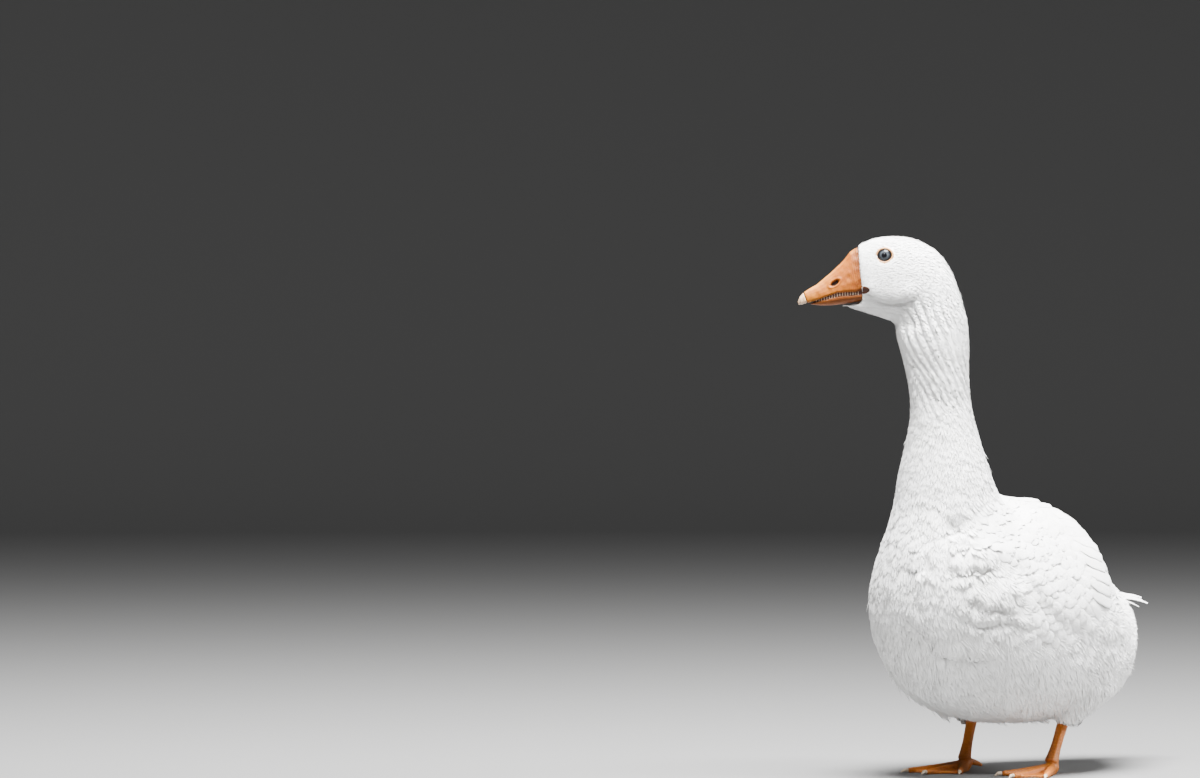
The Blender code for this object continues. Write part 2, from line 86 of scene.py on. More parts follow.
def joinPieces(pieces, name):
    deselectAll()
    for piece in pieces:
        piece.select_set(True)
    bpy.context.view_layer.objects.active = pieces[0]
    bpy.ops.object.join()
    joined = bpy.context.object
    joined.name = joined.data.name = name
    return joined


def copyOfNode(nodeName):
    made = bpy.data.objects.new("copyOf_" + nodeName, nodes[nodeName].data.copy())
    made.data.materials.clear()
    bpy.context.scene.collection.objects.link(made)
    return made


def editAll(obj, *steps):
    makeActive(obj)
    bpy.ops.object.mode_set(mode="EDIT")
    bpy.ops.mesh.select_all(action="SELECT")
    for step in steps:
        step()
    bpy.ops.object.mode_set(mode="OBJECT")


def turnFacesOut():
    bpy.ops.mesh.normals_make_consistent(inside=False)


def mergeDoubles(obj, distance=0.00002):
    editAll(obj, lambda: bpy.ops.mesh.remove_doubles(threshold=distance), turnFacesOut)


def remeshed(obj, voxel, smoothing):
    modifier = obj.modifiers.new("remesh", "REMESH")
    modifier.mode = "VOXEL"
    modifier.voxel_size = voxel
    if smoothing:
        soften = obj.modifiers.new("soften", "SMOOTH")
        soften.factor = 0.5
        soften.iterations = smoothing
    applyModifiers(obj)


def readAll(items, key, width=3, kind=float):
    found = np.empty(len(items) * width, kind)
    items.foreach_get(key, found)
    return found.reshape(-1, width)


def pointsOf(mesh):
    return readAll(mesh.vertices, "co")


def normalsOf(mesh):
    return readAll(mesh.vertices, "normal")


def setPoints(mesh, co):
    mesh.vertices.foreach_set("co", np.asarray(co, float).ravel())
    mesh.update()


def smoothstep(low, high, x):
    t = np.clip((x - low) / (high - low), 0, 1)
    return t * t * (3 - 2 * t)


def plateau(x, rise, fall):
    return smoothstep(*rise, x) * (1 - smoothstep(*fall, x))


def bump(distance, reach):
    return np.exp(-(distance / reach) ** 2)


def unit(v):
    return v / np.maximum(np.linalg.norm(v, axis=-1, keepdims=True), 1e-12)


def shadeSmooth(obj, angle=None):
    makeActive(obj)
    if angle is None:
        bpy.ops.object.shade_smooth()
    else:
        bpy.ops.object.shade_smooth_by_angle(angle=math.radians(angle))


def setPointValues(mesh, name, values):
    layer = mesh.attributes.new(name, "FLOAT", "POINT")
    layer.data.foreach_set("value", np.asarray(values, float))


def handIn(piece, finish, slot, *replaced):
    piece.data.materials.append(finish)
    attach(piece, "root")
    if replaced:
        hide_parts(*replaced)


def newFinish(name, colour, roughness, more=None):
    finish = bpy.data.materials.new(name)
    finish.use_nodes = True
    shader = finish.node_tree.nodes["Principled BSDF"]
    for entry, value in {"Base Color": colour, "Roughness": roughness, **(more or {})}.items():
        shader.inputs[entry].default_value = value
    return finish, finish.node_tree, shader.inputs


def addNode(tree, kind, **values):
    node = tree.nodes.new(kind)
    for key, value in values.items():
        if key in node.inputs:
            node.inputs[key].default_value = value
        else:
            setattr(node, key, value)
    return node


def plug(tree, value, entry):
    # a socket is linked, anything else is set
    if isinstance(value, bpy.types.NodeSocket):
        tree.links.new(value, entry)
    else:
        entry.default_value = value


def textureOn(tree, kind, output, **values):
    place = addNode(tree, "ShaderNodeTexCoord")
    texture = addNode(tree, kind, **values)
    plug(tree, place.outputs["Object"], texture.inputs["Vector"])
    return texture.outputs[output]


def noiseOn(tree, **values):
    return textureOn(tree, "ShaderNodeTexNoise", "Fac", **values)


def ownValue(tree, name):
    return addNode(tree, "ShaderNodeAttribute", attribute_name=name).outputs["Fac"]


def reckon(tree, operation, *values):
    node = addNode(tree, "ShaderNodeMath", operation=operation)
    for entry, value in zip(node.inputs, values):
        plug(tree, value, entry)
    return node.outputs[0]


def mixedColours(tree, first, second, share=None):
    # the second multiplies the first, or lies over it by a share
    kind, share = ("MULTIPLY", 1.0) if share is None else ("MIX", share)
    mixed = addNode(tree, "ShaderNodeMix", data_type="RGBA", blend_type=kind)
    for number, value in ((0, share), (6, first), (7, second)):
        plug(tree, value, mixed.inputs[number])
    return mixed.outputs[2]


def addRelief(tree, height, inputs, strength, distance):
    relief = addNode(tree, "ShaderNodeBump", Strength=strength, Distance=distance)
    plug(tree, height, relief.inputs["Height"])
    plug(tree, relief.outputs["Normal"], inputs["Normal"])


def rampOn(tree, value, stops):
    ramp = addNode(tree, "ShaderNodeValToRGB")
    elements = ramp.color_ramp.elements
    while len(elements) < len(stops):
        elements.new(0.5)
    for element, (place, colour) in zip(elements, stops):
        element.position, element.color = place, colour
    plug(tree, value, ramp.inputs["Fac"])
    return ramp.outputs["Color"]


# where the goose's parts are, from the frame

def middleOf(nodeName):
    low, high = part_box(nodeName)
    return np.array((low + high) / 2)


eyeLeft, eyeRight = middleOf("eye_left"), middleOf("eye_right")
headSide = unit(eyeLeft - eyeRight)   # towards the goose's left eye
headForward = np.cross(headSide, (0, 0, 1))
eyeAhead = 0.0605   # of the eyes, in front of the neck's middle line
eyeForward, eyeUpward = 0.16, 0.10   # how far the eyes look ahead and up
neckMiddle = (eyeLeft + eyeRight) / 2 - headForward * eyeAhead
neckMiddle[2] = 0
neckAhead = 0.144   # of the neck, in front of the body's middle
bodyShift = np.array((middleOf("trunk")[0], neckMiddle[1] + neckAhead, 0))   # of the body's own measures
headTurn = math.atan2(headForward[0], -headForward[1])   # about the neck
twistLow, twistHigh = 0.335, 0.490   # heights between which the neck turns


def headPlaces(points):
    away = points - neckMiddle
    return np.stack((away @ headForward, away @ headSide, points[:, 2]), 1)


def fromHead(ahead, side, up):
    return neckMiddle + headForward * ahead + headSide * side + np.array((0, 0, up))


def neckAngles(points):
    away = points - neckMiddle
    turned = headTurn * smoothstep(twistLow, twistHigh, points[:, 2])
    angle = np.arctan2(away[:, 0], -away[:, 1]) - turned
    return (angle + math.pi) % (2 * math.pi) - math.pi


def eyeAxis(side):
    return unit(headSide * side + headForward * eyeForward + np.array((0, 0, eyeUpward)))


# camera, floor and light

viewSettings = {
    "azimuth": 30, "rise": 0.5, "distance": 7.47, "lens": 200, "sensor": 36,
    "leftOfGoose": 0.45960, "aimHeight": 0.42840,
}


def makeCamera():
    s = viewSettings
    angle = math.radians(s["azimuth"]) + math.atan(s["leftOfGoose"] / s["distance"])
    rise = math.radians(s["rise"])
    right = Vector((math.cos(angle), math.sin(angle), 0))
    back = Vector((math.sin(angle) * math.cos(rise), -math.cos(angle) * math.cos(rise), math.sin(rise)))
    camera = bpy.data.objects.new("camera", bpy.data.cameras.new("camera"))
    bpy.context.scene.collection.objects.link(camera)
    camera.data.lens, camera.data.sensor_width = s["lens"], s["sensor"]
    camera.location = Vector((0, 0, s["aimHeight"])) - right * s["leftOfGoose"] + back * s["distance"]
    camera.rotation_euler = (-back).to_track_quat("-Z", "Y").to_euler()
    bpy.context.scene.camera = camera


studioSettings = {
    "floorColour": (0.13, 0.13, 0.129, 1), "roomRadius": 13.0, "roomHeight": 7.0, "coveRadius": 4.0,
    "worldColour": (0.60, 0.61, 0.63, 1), "worldStrength": 0.08,
    # place, aim, size, power
    "lights": {
        "overhead": ((0.5, -0.6, 3.0), (0, 0, 0.30), 1.8, 1250),
        "front": ((0.6, -3.6, 3.2), (0, 0, 0.40), 1.1, 140),
        "rim": ((2.8, 1.6, 1.8), (0, 0, 0.35), 1.2, 170),
    },
}


def pickFaces(obj, test):
    makeActive(obj)
    bpy.ops.object.mode_set(mode="EDIT")
    bpy.ops.mesh.select_mode(type="FACE")
    bpy.ops.mesh.select_all(action="DESELECT")
    bpy.ops.object.mode_set(mode="OBJECT")
    obj.data.polygons.foreach_set("select", [test(face) for face in obj.data.polygons])
    obj.data.update()
    bpy.ops.object.mode_set(mode="EDIT")


def makeStudio():
    s = studioSettings
    bpy.ops.mesh.primitive_cylinder_add(vertices=96, radius=s["roomRadius"], depth=s["roomHeight"],
                                        location=(0, 0, s["roomHeight"] / 2))
    room = bpy.context.object
    room.name = "studioFloor"
    room.data.transform(room.matrix_world)
    room.matrix_world = Matrix.Identity(4)
    pickFaces(room, lambda face: face.normal.z > 0.9)
    bpy.ops.mesh.delete(type="FACE")
    pickFaces(room, lambda face: face.normal.z < -0.9)
    bpy.ops.mesh.region_to_loop()
    bpy.ops.mesh.bevel(offset=s["coveRadius"], segments=16, affect="EDGES")
    bpy.ops.mesh.select_all(action="SELECT")
    bpy.ops.mesh.flip_normals()
    bpy.ops.object.mode_set(mode="OBJECT")
    shadeSmooth(room)
    finish, _, _ = newFinish("paleFloor", s["floorColour"], 0.9)
    room.data.materials.append(finish)
    world = bpy.data.worlds.new("studioWorld")
    bpy.context.scene.world = world
    world.use_nodes = True
    background = world.node_tree.nodes["Background"].inputs
    background["Color"].default_value = s["worldColour"]
    background["Strength"].default_value = s["worldStrength"]
    for name, (place, aim, size, power) in s["lights"].items():
        light = bpy.data.objects.new(name, bpy.data.lights.new(name, "AREA"))
        bpy.context.scene.collection.objects.link(light)
        light.data.shape, light.data.size, light.data.energy = "DISK", size, power
        light.location = place
        light.rotation_euler = (Vector(aim) - Vector(place)).to_track_quat("-Z", "Y").to_euler()


makeCamera()
makeStudio()
print("camera and studio done")


# skin: one surface under the whole coat

skinSettings = {
    "nodes": ("trunk", "neck", "head", "wing_left", "wing_right", "thigh_left", "thigh_right"),
    "voxel": 0.0022, "smoothing": 7, "fineAbove": 0.500, "coarseBelow": 0.34, "coarseShare": 0.30,
    "fineFront": -0.11, "fineFrontAbove": 0.10, "uvAngle": 66, "uvMargin": 0.002,
}

# Place, lie, length, spacing and depth of the coat, in metres. The body's are given for its left side, from
# its own middle line, and the head's from the neck's middle line.
bodyGuides = {
    "neckFront": ((0.00, -0.190, 0.350), (0.0, -0.10, -1.0), 0.0165, 0.0032, 0.0022),
    "neckBack": ((0.00, -0.095, 0.370), (0.0, 0.15, -1.0), 0.0165, 0.0032, 0.0022),
    "neckSide": ((0.046, -0.142, 0.355), (0.1, 0.05, -1.0), 0.0165, 0.0032, 0.0022),
    "nape": ((0.00, -0.060, 0.322), (0.0, 1.0, -0.35), 0.022, 0.0066, 0.0036),
    "shoulder": ((0.086, -0.120, 0.290), (0.25, 0.80, -0.60), 0.022, 0.0066, 0.0028),
    "back": ((0.00, 0.020, 0.308), (0.0, 1.0, -0.03), 0.030, 0.0088, 0.0020),
    "backLow": ((0.00, 0.120, 0.278), (0.0, 1.0, -0.45), 0.034, 0.0094, 0.0024),
    "rump": ((0.00, 0.195, 0.222), (0.0, 1.0, -0.70), 0.036, 0.0090, 0.0040),
    "rumpSide": ((0.050, 0.190, 0.180), (-0.30, 1.0, -0.35), 0.032, 0.0086, 0.0046),
    "wingFront": ((0.112, -0.100, 0.215), (0.05, 1.0, -0.25), 0.018, 0.0068, 0.0020),
    "wingMiddle": ((0.122, -0.020, 0.220), (0.0, 1.0, -0.10), 0.028, 0.0088, 0.0023),
    "wingBack": ((0.100, 0.090, 0.225), (-0.2, 1.0, -0.15), 0.040, 0.0110, 0.0034),
    "wingTop": ((0.080, 0.000, 0.285), (0.0, 1.0, -0.05), 0.034, 0.0096, 0.0024),
    "breastTop": ((0.00, -0.200, 0.290), (0.0, -0.15, -1.0), 0.022, 0.0056, 0.0020),
    "breast": ((0.00, -0.212, 0.220), (0.0, 0.05, -1.0), 0.026, 0.0066, 0.0028),
    "breastSide": ((0.082, -0.175, 0.200), (0.1, 0.35, -0.95), 0.026, 0.0066, 0.0030),
    "breastLow": ((0.00, -0.175, 0.115), (0.0, 0.45, -0.85), 0.028, 0.0066, 0.0056),
    "belly": ((0.00, -0.060, 0.058), (0.0, 1.0, -0.25), 0.030, 0.0082, 0.0080),
    "bellySide": ((0.085, -0.080, 0.100), (0.0, 0.50, -0.90), 0.028, 0.0070, 0.0075),
    "flank": ((0.116, 0.000, 0.145), (0.0, 0.70, -0.75), 0.032, 0.0074, 0.0070),
    "flankBack": ((0.098, 0.105, 0.140), (-0.1, 0.95, -0.50), 0.034, 0.0078, 0.0070),
    "thigh": ((0.072, 0.020, 0.070), (0.0, 0.30, -1.0), 0.024, 0.0066, 0.0060),
    "vent": ((0.00, 0.110, 0.066), (0.0, 1.0, 0.35), 0.032, 0.0086, 0.0075),
    "underTail": ((0.00, 0.195, 0.128), (0.0, 1.0, 0.55), 0.036, 0.0086, 0.0070),
}
headGuides = {
    "forehead": ((0.082, 0.000, 0.590), (-0.8, 0.0, 0.5), 0.0036, 0.0013, 0.0010),
    "crown": ((0.050, 0.000, 0.606), (-1.0, 0.0, 0.05), 0.0054, 0.0015, 0.0014),
    "hindcrown": ((0.008, 0.000, 0.590), (-0.8, 0.0, -0.5), 0.0074, 0.0018, 0.0018),
    "napeTop": ((-0.022, 0.000, 0.550), (-0.35, 0.0, -0.95), 0.0095, 0.0022, 0.0024),
    "lore": ((0.080, 0.016, 0.566), (-1.0, 0.15, 0.05), 0.0032, 0.0013, 0.0010),
    "brow": ((0.056, 0.020, 0.592), (-1.0, 0.0, 0.10), 0.0040, 0.0014, 0.0012),
    "behindEye": ((0.036, 0.028, 0.574), (-1.0, 0.0, -0.18), 0.0054, 0.0016, 0.0014),
    "cheek": ((0.060, 0.028, 0.546), (-1.0, 0.0, -0.12), 0.0050, 0.0015, 0.0014),
    "cheekLow": ((0.052, 0.026, 0.531), (-1.0, 0.0, 0.00), 0.0056, 0.0016, 0.0016),
    "ear": ((0.012, 0.032, 0.548), (-0.75, 0.0, -0.70), 0.0075, 0.0019, 0.0020),
    "chin": ((0.088, 0.004, 0.516), (-1.0, 0.0, -0.15), 0.0042, 0.0014, 0.0012),
    "throat": ((0.050, 0.008, 0.505), (-0.85, 0.0, -0.45), 0.0056, 0.0017, 0.0018),
    "throatLow": ((0.036, 0.000, 0.480), (-0.15, 0.0, -1.0), 0.0095, 0.0022, 0.0020),
    "neckHigh": ((0.006, 0.034, 0.490), (-0.50, 0.0, -0.90), 0.0100, 0.0022, 0.0020),
    "neckHighBack": ((-0.030, 0.004, 0.490), (-0.05, 0.0, -1.0), 0.0105, 0.0023, 0.0020),
    "neckMidSide": ((0.000, 0.034, 0.430), (-0.30, 0.0, -1.0), 0.0125, 0.0026, 0.0021),
    "neckMidFront": ((0.034, 0.000, 0.420), (0.0, 0.0, -1.0), 0.0125, 0.0026, 0.0021),
    "neckMidBack": ((-0.034, 0.000, 0.420), (0.0, 0.0, -1.0), 0.0125, 0.0026, 0.0021),
}


def buildGuides():
    places, lies, values, names = [], [], [], []
    for name, (place, lie, *rest) in bodyGuides.items():
        for side in ((1, -1) if place[0] else (1,)):
            places.append(np.array(place) * (side, 1, 1) + bodyShift)
            lies.append(np.array(lie) * (side, 1, 1))
            values.append(rest)
            names.append(name)
    for name, ((ahead, aside, up), (alongHead, outward, rise), *rest) in headGuides.items():
        for side in (1, -1):
            places.append(fromHead(ahead, aside * side, up))
            lies.append(headForward * alongHead + headSide * outward * side + np.array((0, 0, rise)))
            values.append(rest)
            names.append(name)
    return np.array(places), unit(np.array(lies)), np.array(values, float), names


guidePlaces, guideLies, guideValues, guideNames = buildGuides()


def guideWeights(points, softening=0.010):
    away = ((points[:, None] - guidePlaces[None]) ** 2).sum(2)
    weight = 1 / (away + softening ** 2) ** 2.2
    return weight / weight.sum(1, keepdims=True)


def coatAt(points):
    weight = guideWeights(points)
    return weight @ guideLies, weight @ guideValues


faceSettings = {
    # under the cheek, back to front
    "foldAhead": (0.024, 0.031, 0.038, 0.0455, 0.0545, 0.063, 0.0705, 0.0781),
    "foldUp": (0.5285, 0.5256, 0.5234, 0.5220, 0.5215, 0.5224, 0.5248, 0.5292),
    "foldDepth": 0.0042, "foldWidth": 0.0034, "foldFrom": (0.020, 0.036), "foldTo": (0.074, 0.086),
    "foldOut": (0.008, 0.018), "cheekSwell": 0.0022, "swellUp": 0.010, "swellWidth": 0.009,
    # the chin, up from the fold
    "chinDepth": 0.0016, "chinFrom": (-0.020, -0.008), "chinTo": (-0.001, 0.004),
    "hollow": (0.0335, 0.501), "hollowDepth": 0.0048, "hollowReach": 0.0095, "lowest": 0.47,
    "socket": 0.0102, "socketLevel": 1.12, "socketRing": (1.08, 1.6), "socketBack": -0.004,
}
furrowSettings = {
    "count": 22, "slope": 9.5, "level": 0.45, "depth": 0.0042,
    "bottom": (0.375, 0.425), "top": (0.505, 0.545),
    # angles round the neck from its front: where furrows begin, and where they grow shallow behind
    "front": (0.15, 0.7), "behind": (2.4, 3.0), "behindShare": 0.45,
    # and on the side that the head turns to
    "innerShare": 0.55, "inner": (-0.6, 0.2),
    # how the feathers lie out over them
    "lieOut": 0.38, "lieFrom": (0.35, 0.9), "lieTo": (2.2, 2.9),
}


def furrowFade(up):
    return plateau(up, furrowSettings["bottom"], furrowSettings["top"])



breastSettings = {
    "front": (-0.13, -0.10), "lipEdge": 0.0015, "grooveAt": -0.0035, "grooveWidth": 0.0040,
    # side, height, reach across, reach along, depth inwards
    "hollows": (
        (0.041, 0.276, 0.011, 0.013, 0.0085),
        (0.047, 0.252, 0.006, 0.016, 0.0030),
    ),
    "swells": (
        (0.072, 0.250, 0.022, 0.012, 0.0040),
        (0.088, 0.208, 0.018, 0.014, 0.0035),
        (0.004, 0.246, 0.012, 0.009, 0.0030),
        (0.008, 0.222, 0.010, 0.009, 0.0030),
    ),
}
# Folds where the breast's feathers part, in the body's own measures: the feathers on the left of the way a
# line runs lie over those on its right. After the line: lip, reach of the lip, groove, lift of the ends.
foldSettings = {
    "shellLow": ((
        (-0.011, -0.224, 0.2406), (-0.002, -0.226, 0.2353), (0.008, -0.227, 0.2346),
        (0.016, -0.226, 0.2399), (0.02, -0.2235, 0.2485)), 0.002, 0.01, 0.0017, 0.0016),
    "shellHigh": ((
        (-0.0154, -0.218, 0.2598), (-0.005, -0.221, 0.2587), (0.005, -0.222, 0.2615),
        (0.013, -0.22, 0.2672)), 0.0015, 0.01, 0.0012, 0.0012),
    "shellUnder": ((
        (-0.001, -0.2285, 0.2173), (0.007, -0.229, 0.2108), (0.0144, -0.229, 0.2133),
        (0.0196, -0.227, 0.2245)), 0.0019, 0.009, 0.0015, 0.0014),
    "shellLast": ((
        (0.0046, -0.228, 0.195), (0.0115, -0.228, 0.1934), (0.0168, -0.2285, 0.1987),
        (0.0202, -0.228, 0.2069)), 0.0018, 0.009, 0.0015, 0.0014),
    "strand": ((
        (0.0204, -0.222, 0.2556), (0.025, -0.223, 0.246), (0.0312, -0.223, 0.2371),
        (0.0374, -0.221, 0.2354)), 0.0015, 0.006, 0.0015, 0.0016),
    "band": ((
        (0.0485, -0.215, 0.2385), (0.0558, -0.211, 0.2364), (0.0608, -0.207, 0.2381),
        (0.0659, -0.203, 0.2345), (0.0715, -0.1975, 0.2352), (0.0761, -0.1905, 0.2396),
        (0.082, -0.1835, 0.2372), (0.0863, -0.174, 0.241), (0.0909, -0.16, 0.2455)),
        0.0034, 0.014, 0.0029, 0.0028),
    "crease": ((
        (0.0465, -0.203, 0.28), (0.0476, -0.208, 0.2675), (0.0505, -0.2085, 0.259),
        (0.0485, -0.212, 0.2504), (0.0508, -0.213, 0.2388)), 0.0018, 0.007, 0.0026, 0.002),
    "upperBand": ((
        (0.0498, -0.207, 0.2649), (0.0572, -0.201, 0.2653), (0.0661, -0.1905, 0.2663),
        (0.0744, -0.179, 0.2646), (0.0808, -0.1645, 0.2659)), 0.0015, 0.01, 0.001, 0.001),
    "wingBend": ((
        (0.07, -0.204, 0.1895), (0.0761, -0.199, 0.199), (0.0795, -0.1954, 0.2033),
        (0.0839, -0.191, 0.196), (0.0873, -0.186, 0.1903), (0.0958, -0.173, 0.1921),
        (0.1037, -0.157, 0.1885), (0.1088, -0.144, 0.185)), 0.0027, 0.012, 0.0022, 0.0022),
    "underBand": ((
        (0.06, -0.211, 0.185), (0.0721, -0.2007, 0.1743), (0.0839, -0.187, 0.1698),
        (0.0951, -0.172, 0.1727), (0.1038, -0.157, 0.1756), (0.1087, -0.144, 0.172),
        (0.1141, -0.1274, 0.1672), (0.1175, -0.116, 0.1712)), 0.0024, 0.014, 0.0031, 0.0022),
    "keel": ((
        (-0.023, -0.2216, 0.1814), (-0.007, -0.223, 0.1721), (0.0044, -0.221, 0.1615),
        (0.0148, -0.2176, 0.1531), (0.0247, -0.213, 0.1467), (0.0298, -0.205, 0.1336)),
        0.0018, 0.012, 0.0026, 0.002),
    "fringe": ((
        (0.01, -0.213, 0.144), (0.0159, -0.211, 0.1399), (0.0256, -0.204, 0.1285),
        (0.0401, -0.197, 0.1262), (0.0543, -0.191, 0.1283), (0.066, -0.182, 0.125),
        (0.0764, -0.174, 0.1282), (0.086, -0.164, 0.1262)), 0.0023, 0.014, 0.0034, 0.0036),
}


# how far a fold reaches, and which share of it is full; then how feathers end on one
foldReach, foldRise, foldFall = 0.045, (0, 0.14), (0.86, 1)
foldEnds = {"front": -0.10, "facing": 0.25, "scatter": 0.0012, "overshoot": 0.003, "least": 0.38}


def curveThrough(points, count):
    points = np.asarray(points, float)
    place = np.linspace(0, len(points) - 1, count)
    i = np.minimum(place.astype(int), len(points) - 2)
    t = (place - i)[:, None]
    before, after = points[np.maximum(i - 1, 0)], points[np.minimum(i + 2, len(points) - 1)]
    a, b = points[i], points[i + 1]
    m1, m2 = (b - before) / 2, (after - a) / 2
    return ((2 * t**3 - 3 * t**2 + 1) * a + (t**3 - 2 * t**2 + t) * m1
            + (3 * t**2 - 2 * t**3) * b + (t**3 - t**2) * m2)


def besideFold(points, normals, line):
    # how far each point lies to the left of the line, and how fully the fold reaches it
    samples = curveThrough(line, len(line) * 8) + bodyShift
    steps = unit(np.gradient(samples, axis=0))
    near = ((points[:, None] - samples[None]) ** 2).sum(2).argmin(1)
    left = np.cross(normals, steps[near])
    away = points - samples[near]
    share = near / (len(samples) - 1)
    full = plateau(share, foldRise, foldFall) * (np.linalg.norm(away, axis=1) < foldReach)
    return (away * left).sum(1), full, left


def shapeFace(points, normals):
    s = faceSettings
    ahead, side, up = headPlaces(points).T
    fold = np.interp(ahead, s["foldAhead"], s["foldUp"])
    along = plateau(ahead, s["foldFrom"], s["foldTo"])
    sides = smoothstep(*s["foldOut"], np.abs(side))
    out = -s["foldDepth"] * bump(up - fold, s["foldWidth"]) * along * sides
    out += s["cheekSwell"] * bump(up - fold - s["swellUp"], s["swellWidth"]) * along * sides
    # the chin lies further in than the cheek
    out -= s["chinDepth"] * plateau(up - fold, s["chinFrom"], s["chinTo"]) * along * sides
    hollowAhead, hollowUp = s["hollow"]
    away = np.hypot(ahead - hollowAhead, up - hollowUp)
    out -= s["hollowDepth"] * bump(away, s["hollowReach"])
    out[up < s["lowest"]] = 0
    return closeSockets(points + normals * out[:, None])


def closeSockets(points):
    # the skin runs level under the lids, and the eyeball stands out of it
    s = faceSettings
    inner, outer = s["socketRing"]
    for centre, side in ((eyeLeft, 1), (eyeRight, -1)):
        axis = eyeAxis(side)
        away = points - centre
        level = away @ axis
        flat = away - level[:, None] * axis
        aside = np.linalg.norm(flat, axis=1) / s["socket"]
        forward = unit(headForward - axis * (headForward @ axis))
        x, y = flat @ forward, flat @ np.cross(axis, forward)
        terms = np.stack((np.ones_like(x), x, y, x * x, x * y, y * y), 1)
        around = (aside > inner) & (aside < outer) & (level > 0)
        fitted = terms @ np.linalg.lstsq(terms[around], level[around], rcond=None)[0]
        inside = (aside < s["socketLevel"]) & (level > s["socketBack"])
        points = points + axis * ((fitted - level) * inside)[:, None]
    return points


def wander(points, scale, seed):
    rng = np.random.default_rng(seed)
    total = np.zeros(len(points))
    for _ in range(7):
        way = unit(rng.normal(size=3)) * rng.uniform(0.6, 1.6) / scale
        total += np.sin(points @ way * 2 * math.pi + rng.uniform(0, 2 * math.pi))
    return total / 7 ** 0.5


def shapeFurrows(points, normals):
    s = furrowSettings
    angle, up = neckAngles(points), points[:, 2]
    turn = np.abs(angle)
    behind = s["behindShare"] + (1 - s["behindShare"]) * (1 - smoothstep(*s["behind"], turn))
    fade = furrowFade(up) * smoothstep(*s["front"], turn) * behind
    phase = s["count"] / 2 * (turn + s["slope"] * (up - s["level"])) + 0.8 * wander(points, 0.070, 4)
    ridge = np.abs(np.sin(phase)) ** 0.9
    depth = s["depth"] * (0.75 + 0.35 * wander(points, 0.05, 9))
    depth = depth * (s["innerShare"] + (1 - s["innerShare"]) * smoothstep(*s["inner"], angle))
    return points - normals * (depth * fade * (1 - ridge))[:, None]


def shapeBreast(points, normals):
    s = breastSettings
    away = points - bodyShift
    out = np.zeros(len(points))
    front = 1 - smoothstep(*s["front"], away[:, 1])
    for sign, group in ((-1, "hollows"), (1, "swells")):
        for side, height, across, along, depth in s[group]:
            share = bump(away[:, 0] - side, across) * bump(away[:, 2] - height, along)
            out += sign * depth * share * front
    chosen = np.nonzero(away[:, 1] < s["front"][1])[0]
    near, facing = points[chosen], normals[chosen]
    relief = np.zeros(len(chosen))
    for line, lip, reach, groove, _ in foldSettings.values():
        beside, full, _ = besideFold(near, facing, line)
        over = smoothstep(-s["lipEdge"], s["lipEdge"], beside) * np.exp(-np.maximum(beside, 0) / reach)
        relief += (lip * over - groove * bump(beside - s["grooveAt"], s["grooveWidth"])) * full
    out[chosen] += relief
    return points + normals * out[:, None]


wingTipSettings = {"at": (0.075, 0.120, 0.206), "reach": (0.040, 0.050, 0.024), "depth": 0.0060}


def shapeWingTips(points, normals):
    # the folded wing draws in toward its tip
    s = wingTipSettings
    away = points - bodyShift
    away[:, 0] = np.abs(away[:, 0])
    near = bump(np.linalg.norm((away - s["at"]) / s["reach"], axis=1), 1)
    return points - normals * (s["depth"] * near)[:, None]


def refineAbove(obj, height):
    makeActive(obj)
    bpy.ops.object.mode_set(mode="EDIT")
    bpy.ops.mesh.select_all(action="DESELECT")
    bpy.ops.object.mode_set(mode="OBJECT")
    co = pointsOf(obj.data)
    chosen = co[:, 2] > height
    flags = np.array([chosen[list(p.vertices)].all() for p in obj.data.polygons])
    obj.data.polygons.foreach_set("select", flags)
    obj.data.update()
    bpy.ops.object.mode_set(mode="EDIT")
    bpy.ops.mesh.select_mode(type="FACE")
    bpy.ops.mesh.subdivide(number_cuts=1, smoothness=0.0)
    bpy.ops.mesh.select_mode(type="VERT")
    bpy.ops.object.mode_set(mode="OBJECT")


def thinBelow(obj, height, share):
    # the breast's front keeps its fineness
    group = obj.vertex_groups.new(name="body")
    co = pointsOf(obj.data)
    along, up = co[:, 1] - bodyShift[1], co[:, 2]
    plain = (up < height) & ((along > skinSettings["fineFront"]) | (up < skinSettings["fineFrontAbove"]))
    group.add(np.nonzero(plain)[0].tolist(), 1.0, "REPLACE")
    thin = obj.modifiers.new("thin", "DECIMATE")
    thin.ratio, thin.vertex_group = 1 - plain.mean() * (1 - share), "body"
    applyModifiers(obj)
    obj.vertex_groups.clear()


def makeSkin():
    s = skinSettings
    skin = joinPieces([copyOfNode(n) for n in s["nodes"]], "gooseSkin")
    mergeDoubles(skin)
    remeshed(skin, s["voxel"], s["smoothing"])
    skin = keepLargest(skin)
    thinBelow(skin, s["coarseBelow"], s["coarseShare"])
    refineAbove(skin, s["fineAbove"])
    soften = skin.modifiers.new("soften", "SMOOTH")
    soften.factor, soften.iterations = 0.5, 2
    applyModifiers(skin)
    co, normals = pointsOf(skin.data), normalsOf(skin.data)
    depth = coatAt(co)[1][:, 2]
    setPoints(skin.data, co - normals * depth[:, None])
    for shape in (shapeFace, shapeFurrows, shapeBreast, shapeWingTips):
        setPoints(skin.data, shape(pointsOf(skin.data), normalsOf(skin.data)))
    shadeSmooth(skin)
    editAll(skin, lambda: bpy.ops.uv.smart_project(angle_limit=math.radians(s["uvAngle"]),
                                                   island_margin=s["uvMargin"]))
    skin.data.uv_layers[0].name = "OFBake"
    return skin


def keepLargest(obj):
    editAll(obj, lambda: bpy.ops.mesh.separate(type="LOOSE"))
    pieces = list(bpy.context.selected_objects)
    largest = max(pieces, key=lambda o: len(o.data.vertices))
    for piece in pieces:
        if piece != largest:
            bpy.data.objects.remove(piece)
    largest.name = "gooseSkin"
    return largest


# the skin as a surface that tufts are laid on

